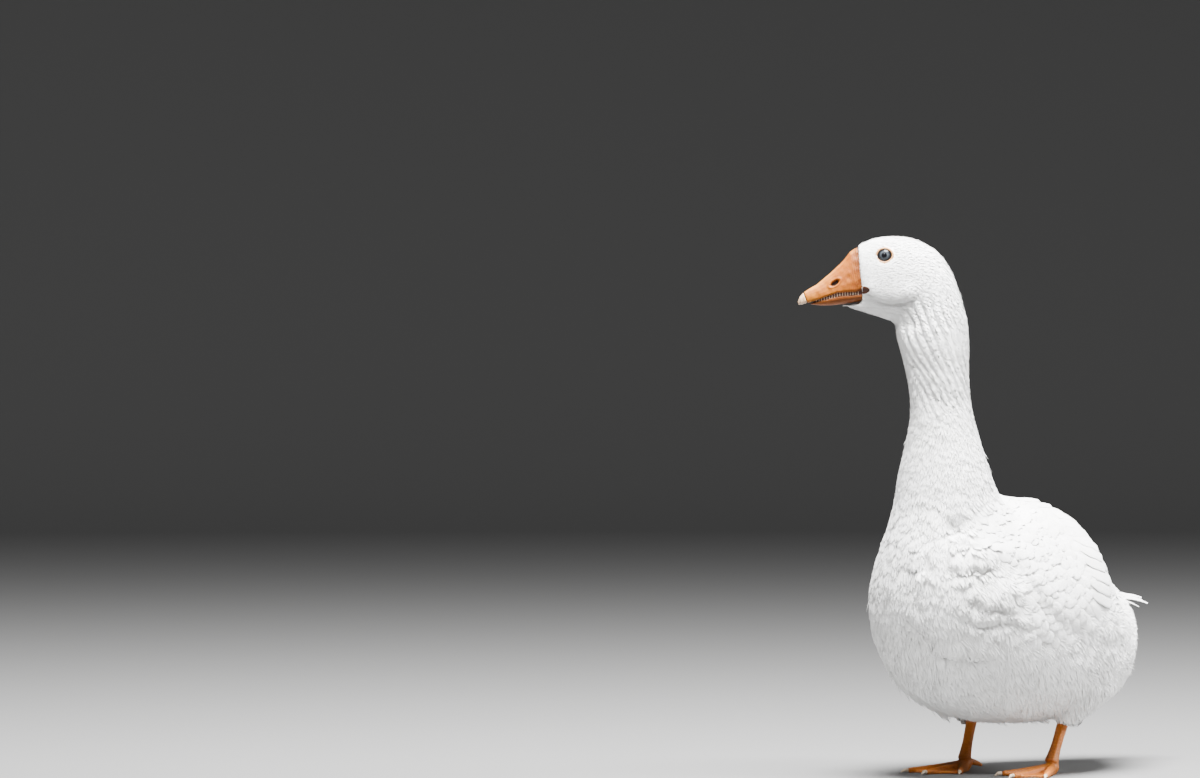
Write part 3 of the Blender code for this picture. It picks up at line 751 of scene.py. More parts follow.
class Surface:
    def __init__(self, obj):
        mesh = obj.data
        mesh.calc_loop_triangles()
        self.co, self.normals = pointsOf(mesh), normalsOf(mesh)
        self.tris = readAll(mesh.loop_triangles, "vertices", kind=int)
        self.loops = readAll(mesh.loop_triangles, "loops", kind=int)
        bake = mesh.uv_layers.get("OFBake")
        self.uv = readAll(bake.data, "uv", 2) if bake else np.zeros((len(mesh.loops), 2))
        self.tree = BVHTree.FromPolygons(self.co.tolist(), self.tris.tolist())
        a, b, c = self.corners(np.arange(len(self.tris)))
        self.areas = np.linalg.norm(np.cross(b - a, c - a), axis=1) / 2

    def corners(self, faces):
        return (self.co[self.tris[faces, k]] for k in range(3))

    def nearest(self, points):
        shape = points.shape
        flat = points.reshape(-1, 3)
        places, faces = np.empty_like(flat), np.empty(len(flat), int)
        for i, point in enumerate(flat.tolist()):
            places[i], _, faces[i], _ = self.tree.find_nearest(point)
        share = self.shares(places, faces)
        normals = unit((self.normals[self.tris[faces]] * share[..., None]).sum(1))
        uv = (self.uv[self.loops[faces]] * share[..., None]).sum(1)
        return places.reshape(shape), normals.reshape(shape), uv.reshape(shape[:-1] + (2,))

    def shares(self, places, faces):
        a, b, c = self.corners(faces)
        whole = np.maximum(np.linalg.norm(np.cross(b - a, c - a), axis=1), 1e-14)
        forA = np.linalg.norm(np.cross(b - places, c - places), axis=1) / whole
        forB = np.linalg.norm(np.cross(c - places, a - places), axis=1) / whole
        share = np.stack((forA, forB, np.maximum(0, 1 - forA - forB)), 1)
        return share / share.sum(1, keepdims=True)

    def throw(self, count, rng, keep):
        centres = self.co[self.tris].mean(1)
        areas = self.areas * keep(centres)
        faces = rng.choice(len(self.tris), count, p=areas / areas.sum())
        u, v = rng.random(count), rng.random(count)
        over = u + v > 1
        u[over], v[over] = 1 - u[over], 1 - v[over]
        a, b, c = self.corners(faces)
        return a + (b - a) * u[:, None] + (c - a) * v[:, None], areas.sum()


scatterSettings = {"probes": 2000, "perSquare": 0.72, "crowd": 5.0}


def scatterRoots(surface, keep, spacingOf, rng):
    s = scatterSettings
    probe, area = surface.throw(s["probes"], rng, keep)
    expected = area * np.mean(s["perSquare"] / spacingOf(probe) ** 2)
    points, _ = surface.throw(int(expected * s["crowd"]) + 10, rng, keep)
    spacing = spacingOf(points)
    cell = spacing.max()
    grid, chosen = {}, []
    keys = np.floor(points / cell).astype(int).tolist()
    steps = [(i, j, k) for i in (-1, 0, 1) for j in (-1, 0, 1) for k in (-1, 0, 1)]
    for i, (point, key, room) in enumerate(zip(points.tolist(), keys, spacing.tolist())):
        x, y, z = point
        cells = ((key[0] + dx, key[1] + dy, key[2] + dz) for dx, dy, dz in steps)
        near = (other for cell in cells for other in grid.get(cell, ()))
        if all((ox - x) ** 2 + (oy - y) ** 2 + (oz - z) ** 2 >= room * room for ox, oy, oz in near):
            grid.setdefault(tuple(key), []).append((x, y, z))
            chosen.append(i)
    return points[chosen]


def turnedAbout(vectors, axes, angles):
    cos, sin = np.cos(angles)[:, None], np.sin(angles)[:, None]
    along = (vectors * axes).sum(1, keepdims=True)
    return vectors * cos + np.cross(axes, vectors) * sin + axes * along * (1 - cos)


def lieAt(points, normals):
    lie, values = coatAt(points)
    lie = lie + furrowLie(points, normals)
    lie = lie - normals * (lie * normals).sum(1, keepdims=True)
    return unit(lie), values


def furrowLie(points, normals):
    s = furrowSettings
    angle = neckAngles(points)
    fade = furrowFade(points[:, 2]) * plateau(np.abs(angle), s["lieFrom"], s["lieTo"])
    backwards = unit(np.cross(np.array((0, 0, 1.0)), normals)) * np.sign(angle)[:, None]
    return backwards * (fade * s["lieOut"])[:, None]


def endOnFolds(roots, lengths, rng):
    # feathers that reach a fold end on it, and stand up a little there
    _, normals, _ = surface.nearest(roots)
    lie, _ = lieAt(roots, normals)
    lengths, lifts = lengths.copy(), np.zeros(len(roots))
    s = foldEnds
    front = roots[:, 1] < bodyShift[1] + s["front"]
    for line, _, _, _, lift in foldSettings.values():
        beside, full, left = besideFold(roots, normals, line)
        towards = -(lie * left).sum(1)
        reach = beside / np.maximum(towards, 0.3) + rng.normal(size=len(roots)) * s["scatter"]
        ends = front & (full > 0.25) & (towards > s["facing"]) & (beside > 0) & (reach < lengths)
        lengths[ends] = np.maximum(reach[ends] + s["overshoot"], lengths[ends] * s["least"])
        lifts[ends] += lift * full[ends]
    return lengths, lifts


class Lattice:
    def __init__(self, surface, roots, lengths, halves, turns, rows, hug):
        count = len(roots)
        self.places = np.empty((count, rows, 3, 3))
        self.normals = np.empty((count, rows, 3, 3))
        spots = roots
        for k in range(rows):
            spots, normals, uv = surface.nearest(spots)
            lie, _ = lieAt(spots, normals)
            lie = turnedAbout(lie, normals, turns)
            across = np.cross(lie, normals)
            if k == 0:
                self.uv = uv
            for j, side in enumerate((-1, 0, 1)):
                self.places[:, k, j] = spots + across * (side * halves)[:, None]
                self.normals[:, k, j] = normals
            spots = spots + lie * (lengths / (rows - 1))[:, None]
        if hug:
            for j in (0, 2):
                self.places[:, :, j], self.normals[:, :, j], _ = surface.nearest(self.places[:, :, j])
        self.lengths, self.rows = lengths, rows


def templateOf(obj):
    co = pointsOf(obj.data)
    faces = [list(p.vertices) for p in obj.data.polygons]
    bpy.data.objects.remove(obj)
    return {"co": co, "faces": faces, "half": np.abs(co[:, 0]).max()}


def stamp(template, lattice, seed, heights=None, tilt=0.0):
    co = template["co"]
    u = co[:, 0] / template["half"]
    v = np.clip(co[:, 1], 0, None)
    rows = lattice.rows
    place = np.clip(v, 0, 1) * (rows - 1)
    k = np.minimum(place.astype(int), rows - 2)
    f = v * (rows - 1) - k
    weight = np.zeros((len(co), rows, 3))
    across = np.stack((u * (u - 1) / 2, 1 - u * u, u * (u + 1) / 2), 1)
    index = np.arange(len(co))
    weight[index, k] = across * (1 - f)[:, None]
    weight[index, k + 1] = across * f[:, None]
    weight = weight.reshape(len(co), rows * 3)
    count = len(lattice.lengths)
    places = weight @ lattice.places.reshape(count, rows * 3, 3)
    normals = unit(weight @ lattice.normals.reshape(count, rows * 3, 3))
    lift = (heights(v) if heights else 0) + co[:, 2] * lattice.lengths[:, None] + tilt * u
    places = places + normals * lift[..., None]
    rng = np.random.default_rng(seed)
    return {
        "co": places.reshape(-1, 3),
        "normals": normals.reshape(-1, 3),
        "faces": template["faces"],
        "count": count,
        "size": len(co),
        "shade": np.repeat(rng.random(count), len(co)),
        "along": np.tile(v, count),
        "rootUv": lattice.uv,
        "vane": np.stack((co[None, :, 0] * lattice.lengths[:, None],
                          co[None, :, 1] * lattice.lengths[:, None]), 2).reshape(-1, 2),
        "patch": np.stack((u * 0.5, v - 0.5), 1),
    }


patchSize = 0.003


def buildCoat(name, stamps, soft=0.7):
    co = np.concatenate([s["co"] for s in stamps])
    verts, totals, patches, offset = [], [], [], 0
    for s in stamps:
        loops = np.concatenate([np.array(f) for f in s["faces"]])
        shift = offset + np.arange(s["count"]) * s["size"]
        verts.append((loops[None] + shift[:, None]).ravel())
        totals.append(np.tile([len(f) for f in s["faces"]], s["count"]))
        patch = s["rootUv"][:, None] + s["patch"][loops][None] * patchSize
        patches.append(patch.reshape(-1, 2))
        offset += s["count"] * s["size"]
    verts, totals = np.concatenate(verts), np.concatenate(totals)
    mesh = bpy.data.meshes.new(name)
    mesh.vertices.add(len(co))
    mesh.vertices.foreach_set("co", co.ravel())
    mesh.loops.add(len(verts))
    mesh.loops.foreach_set("vertex_index", verts)
    mesh.polygons.add(len(totals))
    mesh.polygons.foreach_set("loop_start", np.concatenate(([0], np.cumsum(totals)[:-1])))
    mesh.polygons.foreach_set("loop_total", totals)
    mesh.update(calc_edges=True)
    uv = mesh.uv_layers.new(name="OFBake")
    uv.data.foreach_set("uv", np.concatenate(patches).ravel())
    vane = mesh.uv_layers.new(name="vane")
    vane.data.foreach_set("uv", np.concatenate([s["vane"] for s in stamps])[verts].ravel())
    for key in ("shade", "along"):
        setPointValues(mesh, key, np.concatenate([s[key] for s in stamps]))
    obj = bpy.data.objects.new(name, mesh)
    bpy.context.scene.collection.objects.link(obj)
    mesh.polygons.foreach_set("use_smooth", np.ones(len(totals), bool))
    mesh.update()
    # the feathers' shading leans on the body's own shape, so that the coat reads as one surface
    if soft:
        below = np.concatenate([s["normals"] for s in stamps])
        own = normalsOf(mesh)
        own = own * np.where((own * below).sum(1, keepdims=True) < 0, -1, 1)
        mesh.normals_split_custom_set_from_vertices(unit(own * (1 - soft) + below * soft).tolist())
    mesh.uv_layers.active = uv
    tris = int((totals - 2).sum())
    print(f"{name}: {sum(s['count'] for s in stamps)} feathers, {tris} triangles")
    return obj


# feather shapes, each modelled once

def liftShaft(vane, test, height):
    # the shaft stands up along the middle of the top side
    makeActive(vane)
    bpy.ops.object.mode_set(mode="EDIT")
    bpy.ops.mesh.select_mode(type="VERT")
    bpy.ops.mesh.select_all(action="DESELECT")
    bpy.ops.object.mode_set(mode="OBJECT")
    vane.data.vertices.foreach_set("select", [bool(test(*point)) for point in pointsOf(vane.data)])
    vane.data.update()
    bpy.ops.object.mode_set(mode="EDIT")
    bpy.ops.transform.translate(value=(0, 0, height))
    bpy.ops.object.mode_set(mode="OBJECT")


bladeSettings = {
    # all shares of its length; the rings' places and widths, and how far it bows to one side
    "width": 0.085, "thickness": 0.015, "rings": (0.38, 0.74), "widths": (1.0, 0.72), "bow": 0.05,
}


def makeBlade(name, width, thickness, rings, widths, bow):
    bpy.ops.mesh.primitive_cone_add(vertices=3, radius1=0.5, radius2=0.0, depth=1.0, end_fill_type="NGON")
    blade = bpy.context.object
    blade.name = name

    def cutRings():
        for place in rings:
            bpy.ops.mesh.select_all(action="SELECT")
            bpy.ops.mesh.bisect(plane_co=(0, 0, place - 0.5), plane_no=(0, 0, 1))

    editAll(blade, cutRings)
    # stand it along +Y, flat side down
    co = pointsOf(blade.data)
    rise = co[:, 2] + 0.5
    grow = np.ones(len(co))
    known = (0.0,) + tuple(rings) + (1.0,)
    wanted = (0.45,) + tuple(widths) + (0.0,)
    taper = 1 - rise
    share = np.interp(rise, known, wanted) / np.maximum(taper, 1e-6)
    grow[taper > 1e-4] = share[taper > 1e-4]
    x = co[:, 0] * grow * width / 0.866
    z = (co[:, 1] * grow + 0.25 * np.interp(rise, known, wanted)) * thickness / 0.75
    x = x + bow * np.sin(rise * math.pi)
    setPoints(blade.data, np.stack((x, rise, z), 1))
    mergeDoubles(blade, 0.0001)
    return blade


def copiedBlade(blade, turn, scale, at, mirror=False):
    made = bpy.data.objects.new("blade", blade.data.copy())
    bpy.context.scene.collection.objects.link(made)
    co = pointsOf(made.data)
    if mirror:
        co[:, 0] *= -1
        made.data.flip_normals()
    cos, sin = math.cos(turn), math.sin(turn)
    # turn is towards +X
    x = co[:, 0] * cos * scale[0] + co[:, 1] * sin * scale[1]
    y = -co[:, 0] * sin * scale[0] + co[:, 1] * cos * scale[1]
    setPoints(made.data, np.stack((x + at[0], y + at[1], co[:, 2] * scale[0] + at[2]), 1))
    return made


plumeSettings = {"half": 0.27, "perSide": 5, "shaftReach": 0.42}


def makePlume(name, seed, half, perSide, shaftReach):
    rng = np.random.default_rng(seed)
    blade = makeBlade("plumeBlade", **bladeSettings)
    parts = []
    for side in (-1, 1):
        for k in range(perSide):
            share = (k + 0.5) / perSide
            angle = math.radians(80 * (1 - share) + 6 + rng.uniform(-5, 5))
            start = shaftReach * share
            endX = half * math.sin(angle) * rng.uniform(0.80, 1.10)
            endY = 0.50 + 0.46 * math.cos(angle) * rng.uniform(0.72, 1.10)
            reach = math.hypot(endX, endY - start)
            turn = math.atan2(endX * side, endY - start)
            parts.append(copiedBlade(blade, turn, (rng.uniform(0.85, 1.15), reach),
                                     (0, start, 0.004 * k), mirror=side < 0))
    parts.append(copiedBlade(blade, rng.uniform(-0.05, 0.05), (1.1, 0.99), (0, 0.0, 0.012)))
    bpy.data.objects.remove(blade)
    return templateOf(joinPieces(parts, name))


def makeLock(name, seed, count, spread, width):
    rng = np.random.default_rng(seed)
    blade = makeBlade("lockBlade", **dict(bladeSettings, width=width))
    parts = []
    for k in range(count):
        share = (k + 0.5) / count * 2 - 1
        turn = spread * share + rng.uniform(-0.04, 0.04)
        parts.append(copiedBlade(blade, turn, (rng.uniform(0.85, 1.15), rng.uniform(0.84, 1.0)),
                                 (0.03 * share, 0, 0.006 * (k % 2)), mirror=share < 0))
    bpy.data.objects.remove(blade)
    return templateOf(joinPieces(parts, name))


vaneSettings = {
    "half": 0.30, "columns": 4, "rows": 6, "thickness": 0.012, "camber": 0.012, "notch": 0.03,
    "outline": ((0, 0.15, 0.4, 0.65, 0.85, 1.0), (0.22, 0.55, 0.92, 1.0, 0.86, 0.52)),
}


def layGrid(name, columns, rows):
    bpy.ops.mesh.primitive_grid_add(x_subdivisions=columns, y_subdivisions=rows, size=1, location=(0, 0, 0))
    vane = bpy.context.object
    vane.name = name
    co = pointsOf(vane.data)
    return vane, co[:, 0] * 2, co[:, 1] + 0.5


def wallVane(vane, x, y, z, thickness):
    setPoints(vane.data, np.stack((x, y, z), 1))
    wall = vane.modifiers.new("wall", "SOLIDIFY")
    wall.thickness, wall.offset = thickness, -1
    applyModifiers(vane)


def makeVane(name, seed, half, columns, rows, thickness, camber, outline, notch):
    rng = np.random.default_rng(seed)
    vane, u, v = layGrid(name, columns, rows)
    ragged = rng.uniform(-1, 1, len(u)) * notch * (v > 0.95)
    y = v - (v > 0.5) * (v - 0.5) * 2 * 0.16 * np.abs(u) ** 2.2 + ragged
    wallVane(vane, u * np.interp(v, *outline) * half, y, -camber * u ** 2, thickness)
    liftShaft(vane, lambda x, y, z: abs(x) < half / columns * 0.2 and z > -thickness * 0.5 and y < 0.95,
              thickness * 0.9)
    return templateOf(vane)


# finishes

plumageSettings = {
    "white": (0.92, 0.918, 0.91, 1), "shaded": (0.86, 0.855, 0.84, 1), "root": (0.86, 0.85, 0.83, 1),
    "roughness": 0.78, "sheen": 0.25, "barbs": 950, "barbHeight": 0.0003,
    # tints: from feather to feather at random, and painted shade along each, darker towards its root where
    # the feathers above cover it
    "shade": ((0.0, (0.91, 0.91, 0.905, 1)), (1.0, (1, 1, 1, 1))),
    "along": ((0.0, (0.92, 0.915, 0.90, 1)), (0.55, (1, 1, 1, 1))),
}


def makePlumageFinish(name, barbSlope, barbStrength):
    s = plumageSettings
    finish, tree, inputs = newFinish(name, s["white"], s["roughness"],
                                     {"Sheen Weight": s["sheen"], "Sheen Roughness": 0.6})
    # faint broad unevenness over the whole bird
    colour = rampOn(tree, noiseOn(tree, Scale=14.0, Detail=3.0), ((0.30, s["shaded"]), (0.58, s["white"])))
    # random tone per feather, then the painted shade towards each feather's root
    for key in ("shade", "along"):
        colour = mixedColours(tree, colour, rampOn(tree, ownValue(tree, key), s[key]))
    plug(tree, colour, inputs["Base Color"])
    # barbs run outwards and forwards from the shaft
    vane = addNode(tree, "ShaderNodeUVMap", uv_map="vane")
    parts = addNode(tree, "ShaderNodeSeparateXYZ")
    plug(tree, vane.outputs["UV"], parts.inputs["Vector"])
    slope = reckon(tree, "MULTIPLY", reckon(tree, "ABSOLUTE", parts.outputs["X"]), barbSlope)
    rise = reckon(tree, "SUBTRACT", parts.outputs["Y"], slope)
    wave = reckon(tree, "SINE", reckon(tree, "MULTIPLY", rise, s["barbs"] * 2 * math.pi))
    addRelief(tree, wave, inputs, barbStrength, s["barbHeight"])
    return finish


softFinish = makePlumageFinish("softPlumage", 0.4, 0.25)
vaneFinish = makePlumageFinish("closedVane", 1.2, 0.45)


def makeSkinFinish():
    s = plumageSettings
    finish, tree, inputs = newFinish("underDown", s["white"], 0.9)
    down = noiseOn(tree, Scale=420.0, Detail=4.0)
    plug(tree, rampOn(tree, down, ((0.3, s["root"]), (0.7, s["white"]))), inputs["Base Color"])
    addRelief(tree, down, inputs, 0.6, 0.0008)
    return finish


# bill

billSettings = {
    "voxel": 0.00060, "smoothing": 12, "lowerSmoothing": 3, "rootReach": 0.005,
    "nostril": (0.1160, 0.5462), "nostrilHalf": (0.0054, 0.0027), "nostrilTilt": 33, "nostrilDepth": 0.0036,
    # in shares of the nostril: its wall, the rim round it and the shallow hollow round that
    "nostrilWall": (0.55, 1.12), "rimAt": 1.42, "rimWidth": 0.30, "rimHeight": 0.0006,
    "hollowReach": 2.6, "hollowDepth": 0.0007, "onSide": (0.003, 0.006),
    "wrinkles": 0.00022, "wrinkleStep": 0.0021, "wrinklesEnd": (0.090, 0.104), "unevenness": 0.00012,
    "grooves": 0.00018, "grooveStep": 0.0016,
    "orange": (0.215, 0.054, 0.0010, 1), "pale": (0.265, 0.074, 0.0018, 1), "dark": (0.180, 0.042, 0.0010, 1),
    # painted highlight on the ridge's upward-facing top, and painted shade inside the nostrils
    "culmenHighlight": (0.44, 0.18, 0.04, 1), "inside": (0.03, 0.012, 0.008, 1),
    "nail": (0.50, 0.34, 0.21, 1), "nailDark": (0.40, 0.25, 0.15, 1),
    # tints: paler towards the nail, painted shade darker at the feathered base and along the whole lower
    # bill, and small dark specks
    "ends": ((0.0, (0.40, 0.37, 0.37, 1)), (0.20, (0.86, 0.84, 0.82, 1)), (0.5, (1, 1, 1, 1)),
             (1.0, (1.12, 1.30, 1.60, 1))),
    "specks": ((0.28, (0.60, 0.56, 0.54, 1)), (0.33, (1, 1, 1, 1))),
}


def makeBillFinish():
    s = billSettings
    finish, tree, inputs = newFinish("billSkin", s["orange"], 0.60, {
        "Coat Weight": 0.03, "Coat Roughness": 0.3, "Specular IOR Level": 0.20,
        "Subsurface Weight": 0.12, "Subsurface Radius": (0.004, 0.0015, 0.0006)})
    blotch = noiseOn(tree, Scale=90.0, Detail=4.0, Roughness=0.6)
    colour = rampOn(tree, blotch, ((0.30, s["dark"]), (0.48, s["orange"]), (0.72, s["pale"])))
    # paler towards the nail; painted shade darkens the feathered base, the lower bill and the gape
    colour = mixedColours(tree, colour, rampOn(tree, ownValue(tree, "ahead"), s["ends"]))
    colour = mixedColours(tree, colour, rampOn(tree, noiseOn(tree, Scale=420.0, Detail=2.0), s["specks"]))
    # painted highlight palest along the top of the ridge, where it faces up, and painted shade dark in the
    # nostrils and the gape
    colour = mixedColours(tree, colour, s["culmenHighlight"], ownValue(tree, "ridge"))
    colour = mixedColours(tree, colour, s["inside"], ownValue(tree, "pitShade"))
    plug(tree, colour, inputs["Base Color"])
    addRelief(tree, noiseOn(tree, Scale=650.0, Detail=5.0, Roughness=0.65), inputs, 0.35, 0.0004)
    return finish


def makeHornFinish(name, colour, dark, scale):
    finish, tree, inputs = newFinish(name, colour, 0.35, {"Coat Weight": 0.2})
    streak = noiseOn(tree, Scale=scale, Detail=4.0, Distortion=0.6)
    plug(tree, rampOn(tree, streak, ((0.32, dark), (0.55, colour))), inputs["Base Color"])
    addRelief(tree, streak, inputs, 0.3, 0.0003)
    return finish


def ellipseAway(ahead, up):
    s = billSettings
    tilt = math.radians(s["nostrilTilt"])
    x, z = ahead - s["nostril"][0], up - s["nostril"][1]
    # it rises towards the face
    long = -x * math.cos(tilt) + z * math.sin(tilt)
    short = x * math.sin(tilt) + z * math.cos(tilt)
    return np.hypot(long / s["nostrilHalf"][0], short / s["nostrilHalf"][1])


def rootIntoFace(bill, reach):
    # the rear of the bill reaches back under the face's feathers
    co = pointsOf(bill.data)
    ahead = headPlaces(co)[:, 0]
    back = smoothstep(0.0915, 0.0895, ahead)
    facing = normalsOf(bill.data) @ headForward < -0.30
    setPoints(bill.data, co - headForward * (reach * back * facing)[:, None])


def makeUpperBill():
    s = billSettings
    bill = copyOfNode("bill_upper")
    bill.name = bill.data.name = "upperBill"
    mergeDoubles(bill)
    rootIntoFace(bill, s["rootReach"])
    remeshed(bill, s["voxel"], s["smoothing"])
    co, normals = pointsOf(bill.data), normalsOf(bill.data)
    ahead, side, up = headPlaces(co).T
    away = ellipseAway(ahead, up)
    onSide = smoothstep(*s["onSide"], np.abs(side))
    out = -s["nostrilDepth"] * (1 - smoothstep(*s["nostrilWall"], away)) * onSide
    out += s["rimHeight"] * bump(away - s["rimAt"], s["rimWidth"]) * onSide
    out -= s["hollowDepth"] * bump(away, s["hollowReach"]) * onSide
    # fine wrinkles towards the face
    phase = (ahead + 0.15 * (up - 0.55)) * 2 * math.pi / s["wrinkleStep"]
    wrinkle = np.sin(phase + 0.9 * wander(co, 0.012, 5))
    out += s["wrinkles"] * wrinkle * (1 - smoothstep(*s["wrinklesEnd"], ahead))
    out += s["unevenness"] * wander(co, 0.009, 8)
    setPoints(bill.data, co + normals * out[:, None])
    # painted shade: darkest high up by the feathers, where they overhang the base
    base = 0.086 + 0.006 * smoothstep(0.548, 0.572, up)
    setPointValues(bill.data, "ahead", np.clip((ahead - base) / 0.058 + 0.06, 0, 1))
    # painted highlight along the ridge, where its top faces up
    onTop = smoothstep(0.45, 0.95, normals[:, 2]) * smoothstep(0.088, 0.100, ahead)
    setPointValues(bill.data, "ridge", 0.85 * onTop)
    # painted shade inside the nostrils
    setPointValues(bill.data, "pitShade", (1 - smoothstep(0.78, 1.05, away)) * onSide)
    shadeSmooth(bill)
    return bill


def makeLowerBill():
    s = billSettings
    bill = copyOfNode("bill_lower")
    bill.name = bill.data.name = "lowerBill"
    mergeDoubles(bill)
    rootIntoFace(bill, s["rootReach"])
    remeshed(bill, s["voxel"], s["lowerSmoothing"])
    co, normals = pointsOf(bill.data), normalsOf(bill.data)
    ahead = headPlaces(co)[:, 0]
    onSides = smoothstep(0.55, 0.8, np.abs(normals @ headSide))
    out = s["grooves"] * np.sin(ahead * 2 * math.pi / s["grooveStep"]) * onSides
    setPoints(bill.data, co + normals * out[:, None])
    # painted shade: the lower bill keeps the dark end of the tint all along, lying in shade under the upper
    setPointValues(bill.data, "ahead", np.clip((ahead - 0.075) / 0.50, 0, 0.10))
    for key in ("ridge", "pitShade"):
        setPointValues(bill.data, key, np.zeros(len(co)))
    shadeSmooth(bill)
    return bill


def makeNail():
    nail = copyOfNode("bill_nail")
    nail.name = nail.data.name = "billNail"
    mergeDoubles(nail)
    remeshed(nail, 0.0005, 5)
    shadeSmooth(nail)
    return nail


lamellaSettings = {
    "count": 17, "from": 0.090, "to": 0.136, "radii": (0.00095, 0.0005), "height": 0.0042,
    "thinner": 0.62, "wider": 1.2, "inset": 0.0020, "below": 0.0012,
    # by how far ahead: the lower bill's half width and its rim's height
    "half": ((0.087, 0.110, 0.130, 0.143), (0.0146, 0.0128, 0.0104, 0.004)),
    "rim": ((0.087, 0.110, 0.130, 0.143), (0.5366, 0.5352, 0.5290, 0.5250)),
}


def makeLamellae():
    s = lamellaSettings
    parts = []
    for side in (-1, 1):
        for ahead in s["from"] + (s["to"] - s["from"]) * np.arange(s["count"]) / (s["count"] - 1):
            half, rim = np.interp(ahead, *s["half"]) - s["inset"], np.interp(ahead, *s["rim"])
            bpy.ops.mesh.primitive_cone_add(vertices=4, radius1=s["radii"][0], radius2=s["radii"][1],
                                            depth=s["height"])
            tooth = bpy.context.object
            co = pointsOf(tooth.data)
            places = headForward * co[:, :1] * s["thinner"] + headSide * co[:, 1:2] * s["wider"]
            places[:, 2] += co[:, 2]
            setPoints(tooth.data, fromHead(ahead, side * half, rim - s["below"]) + places)
            parts.append(tooth)
    lamellae = joinPieces(parts, "billLamellae")
    mergeDoubles(lamellae)
    return lamellae


liningSettings = {
    "cuts": 7, "ahead": (0.080, 0.140),
    # by how far ahead: half width, top and bottom
    "half": ((0.080, 0.110, 0.130, 0.140), (0.0124, 0.0104, 0.0078, 0.0030)),
    "top": ((0.080, 0.090, 0.110, 0.130, 0.143), (0.5402, 0.5372, 0.5368, 0.5312, 0.5270)),
    "low": ((0.080, 0.110, 0.130, 0.143), (0.5320, 0.5315, 0.5262, 0.5238)),
}


def makeMouthLining():
    # the inside of the mouth, seen between the mandibles, coloured near-black as painted shade
    s = liningSettings
    bpy.ops.mesh.primitive_cube_add(size=1)
    lining = bpy.context.object
    lining.name = lining.data.name = "mouthLining"
    editAll(lining, lambda: bpy.ops.mesh.subdivide(number_cuts=s["cuts"]))
    co = pointsOf(lining.data)
    ahead = np.interp(co[:, 0], (-0.5, 0.5), s["ahead"])
    half, top, low = (np.interp(ahead, *s[key]) for key in ("half", "top", "low"))
    places = neckMiddle + headForward * ahead[:, None] + headSide * (co[:, 1] * 2 * half)[:, None]
    places[:, 2] = low + (top - low) * (co[:, 2] + 0.5)
    setPoints(lining.data, places)
    mergeDoubles(lining)
    shadeSmooth(lining, 40)
    return lining


# eyes

eyeSettings = {
    "radius": 0.0090, "sunk": 0.0032, "wide": 1.155, "cornea": 0.0005, "corneaReach": 0.0042,
    "pupil": 0.00275, "iris": 0.0051, "limbus": 0.0057,
    "lidLong": 0.0092, "lidTall": 0.0080, "lidHalf": 0.0012, "lidThick": 0.0007, "level": 0.0068,
    # the dark edge past the iris is partly the eye's own dark limbus and partly painted shade under the lids
    "black": (0.004, 0.004, 0.005, 1), "irisColour": (0.022, 0.026, 0.031, 1),
    "irisPale": (0.046, 0.053, 0.060, 1), "edge": (0.012, 0.012, 0.014, 1), "ring": (0.46, 0.23, 0.09, 1),
    "streaks": ((0.3, (0.72, 0.72, 0.72, 1)), (0.7, (1.0, 1.0, 1.0, 1))),
}


def makeEye(name, nodeName, side):
    s = eyeSettings
    axis = eyeAxis(side)
    centre = middleOf(nodeName) - axis * s["sunk"]
    bpy.ops.mesh.primitive_uv_sphere_add(segments=64, ring_count=40, radius=s["radius"])
    eye = bpy.context.object
    eye.name = eye.data.name = name
    co = pointsOf(eye.data)
    co[:, :2] *= s["wide"]
    away = np.hypot(co[:, 0], co[:, 1])
    co[:, 2] += s["cornea"] * (bump(away, s["corneaReach"]) - 1) * (co[:, 2] > 0)
    rotation = np.array(Vector(axis).to_track_quat("Z", "Y").to_matrix())
    setPoints(eye.data, centre + co @ rotation.T)
    setPointValues(eye.data, "away", np.where(co[:, 2] > 0, away, 0.0089))
    shadeSmooth(eye)
    finish, tree, inputs = newFinish(name + "Gloss", s["irisColour"], 0.06, {
        "Coat Weight": 0.10, "Coat Roughness": 0.02, "Specular IOR Level": 0.12})
    # the ramp runs in centimetres from the pupil's middle, out to the dark edge, which is the dark limbus and
    # painted shade under the lids
    pupil, iris, limbus = s["pupil"] * 100, s["iris"] * 100, s["limbus"] * 100
    rings = rampOn(tree, reckon(tree, "MULTIPLY", ownValue(tree, "away"), 100.0), (
        (0.0, s["black"]), (pupil - 0.01, s["black"]), (pupil + 0.015, s["irisColour"]),
        (iris - 0.10, s["irisPale"]), (iris, s["irisColour"]), (limbus, s["edge"])))
    streaks = rampOn(tree, noiseOn(tree, Scale=900.0, Detail=3.0), s["streaks"])
    plug(tree, mixedColours(tree, rings, streaks), inputs["Base Color"])
    handIn(eye, finish, "eye", nodeName)
    return centre, axis


def makeLids(name, centre, axis, finish):
    s = eyeSettings
    bpy.ops.mesh.primitive_torus_add(major_segments=72, minor_segments=14, major_radius=1.0, minor_radius=0.2)
    lids = bpy.context.object
    lids.name = lids.data.name = name
    co = pointsOf(lids.data)
    angle = np.arctan2(co[:, 1], co[:, 0])
    reach = (np.hypot(co[:, 0], co[:, 1]) - 1) / 0.2
    # the opening is a little wider than it is tall, with small corners
    wide = s["lidLong"] + 0.0003 * np.abs(np.cos(angle)) ** 8 + reach * s["lidHalf"]
    tall = s["lidTall"] + reach * s["lidHalf"]
    folds = 0.00012 * np.sin(angle * 23) * (reach > -0.2)
    up = s["level"] + co[:, 2] / 0.2 * s["lidThick"] - 0.0005 * np.maximum(reach, 0) ** 2 + folds
    forward = unit(headForward - axis * (headForward @ axis))
    rise = np.cross(axis, forward)
    setPoints(lids.data, centre + (wide * np.cos(angle))[:, None] * forward
              + (tall * np.sin(angle))[:, None] * rise + up[:, None] * axis)
    mergeDoubles(lids)
    shadeSmooth(lids)
    handIn(lids, finish, "orange_skin")


# legs

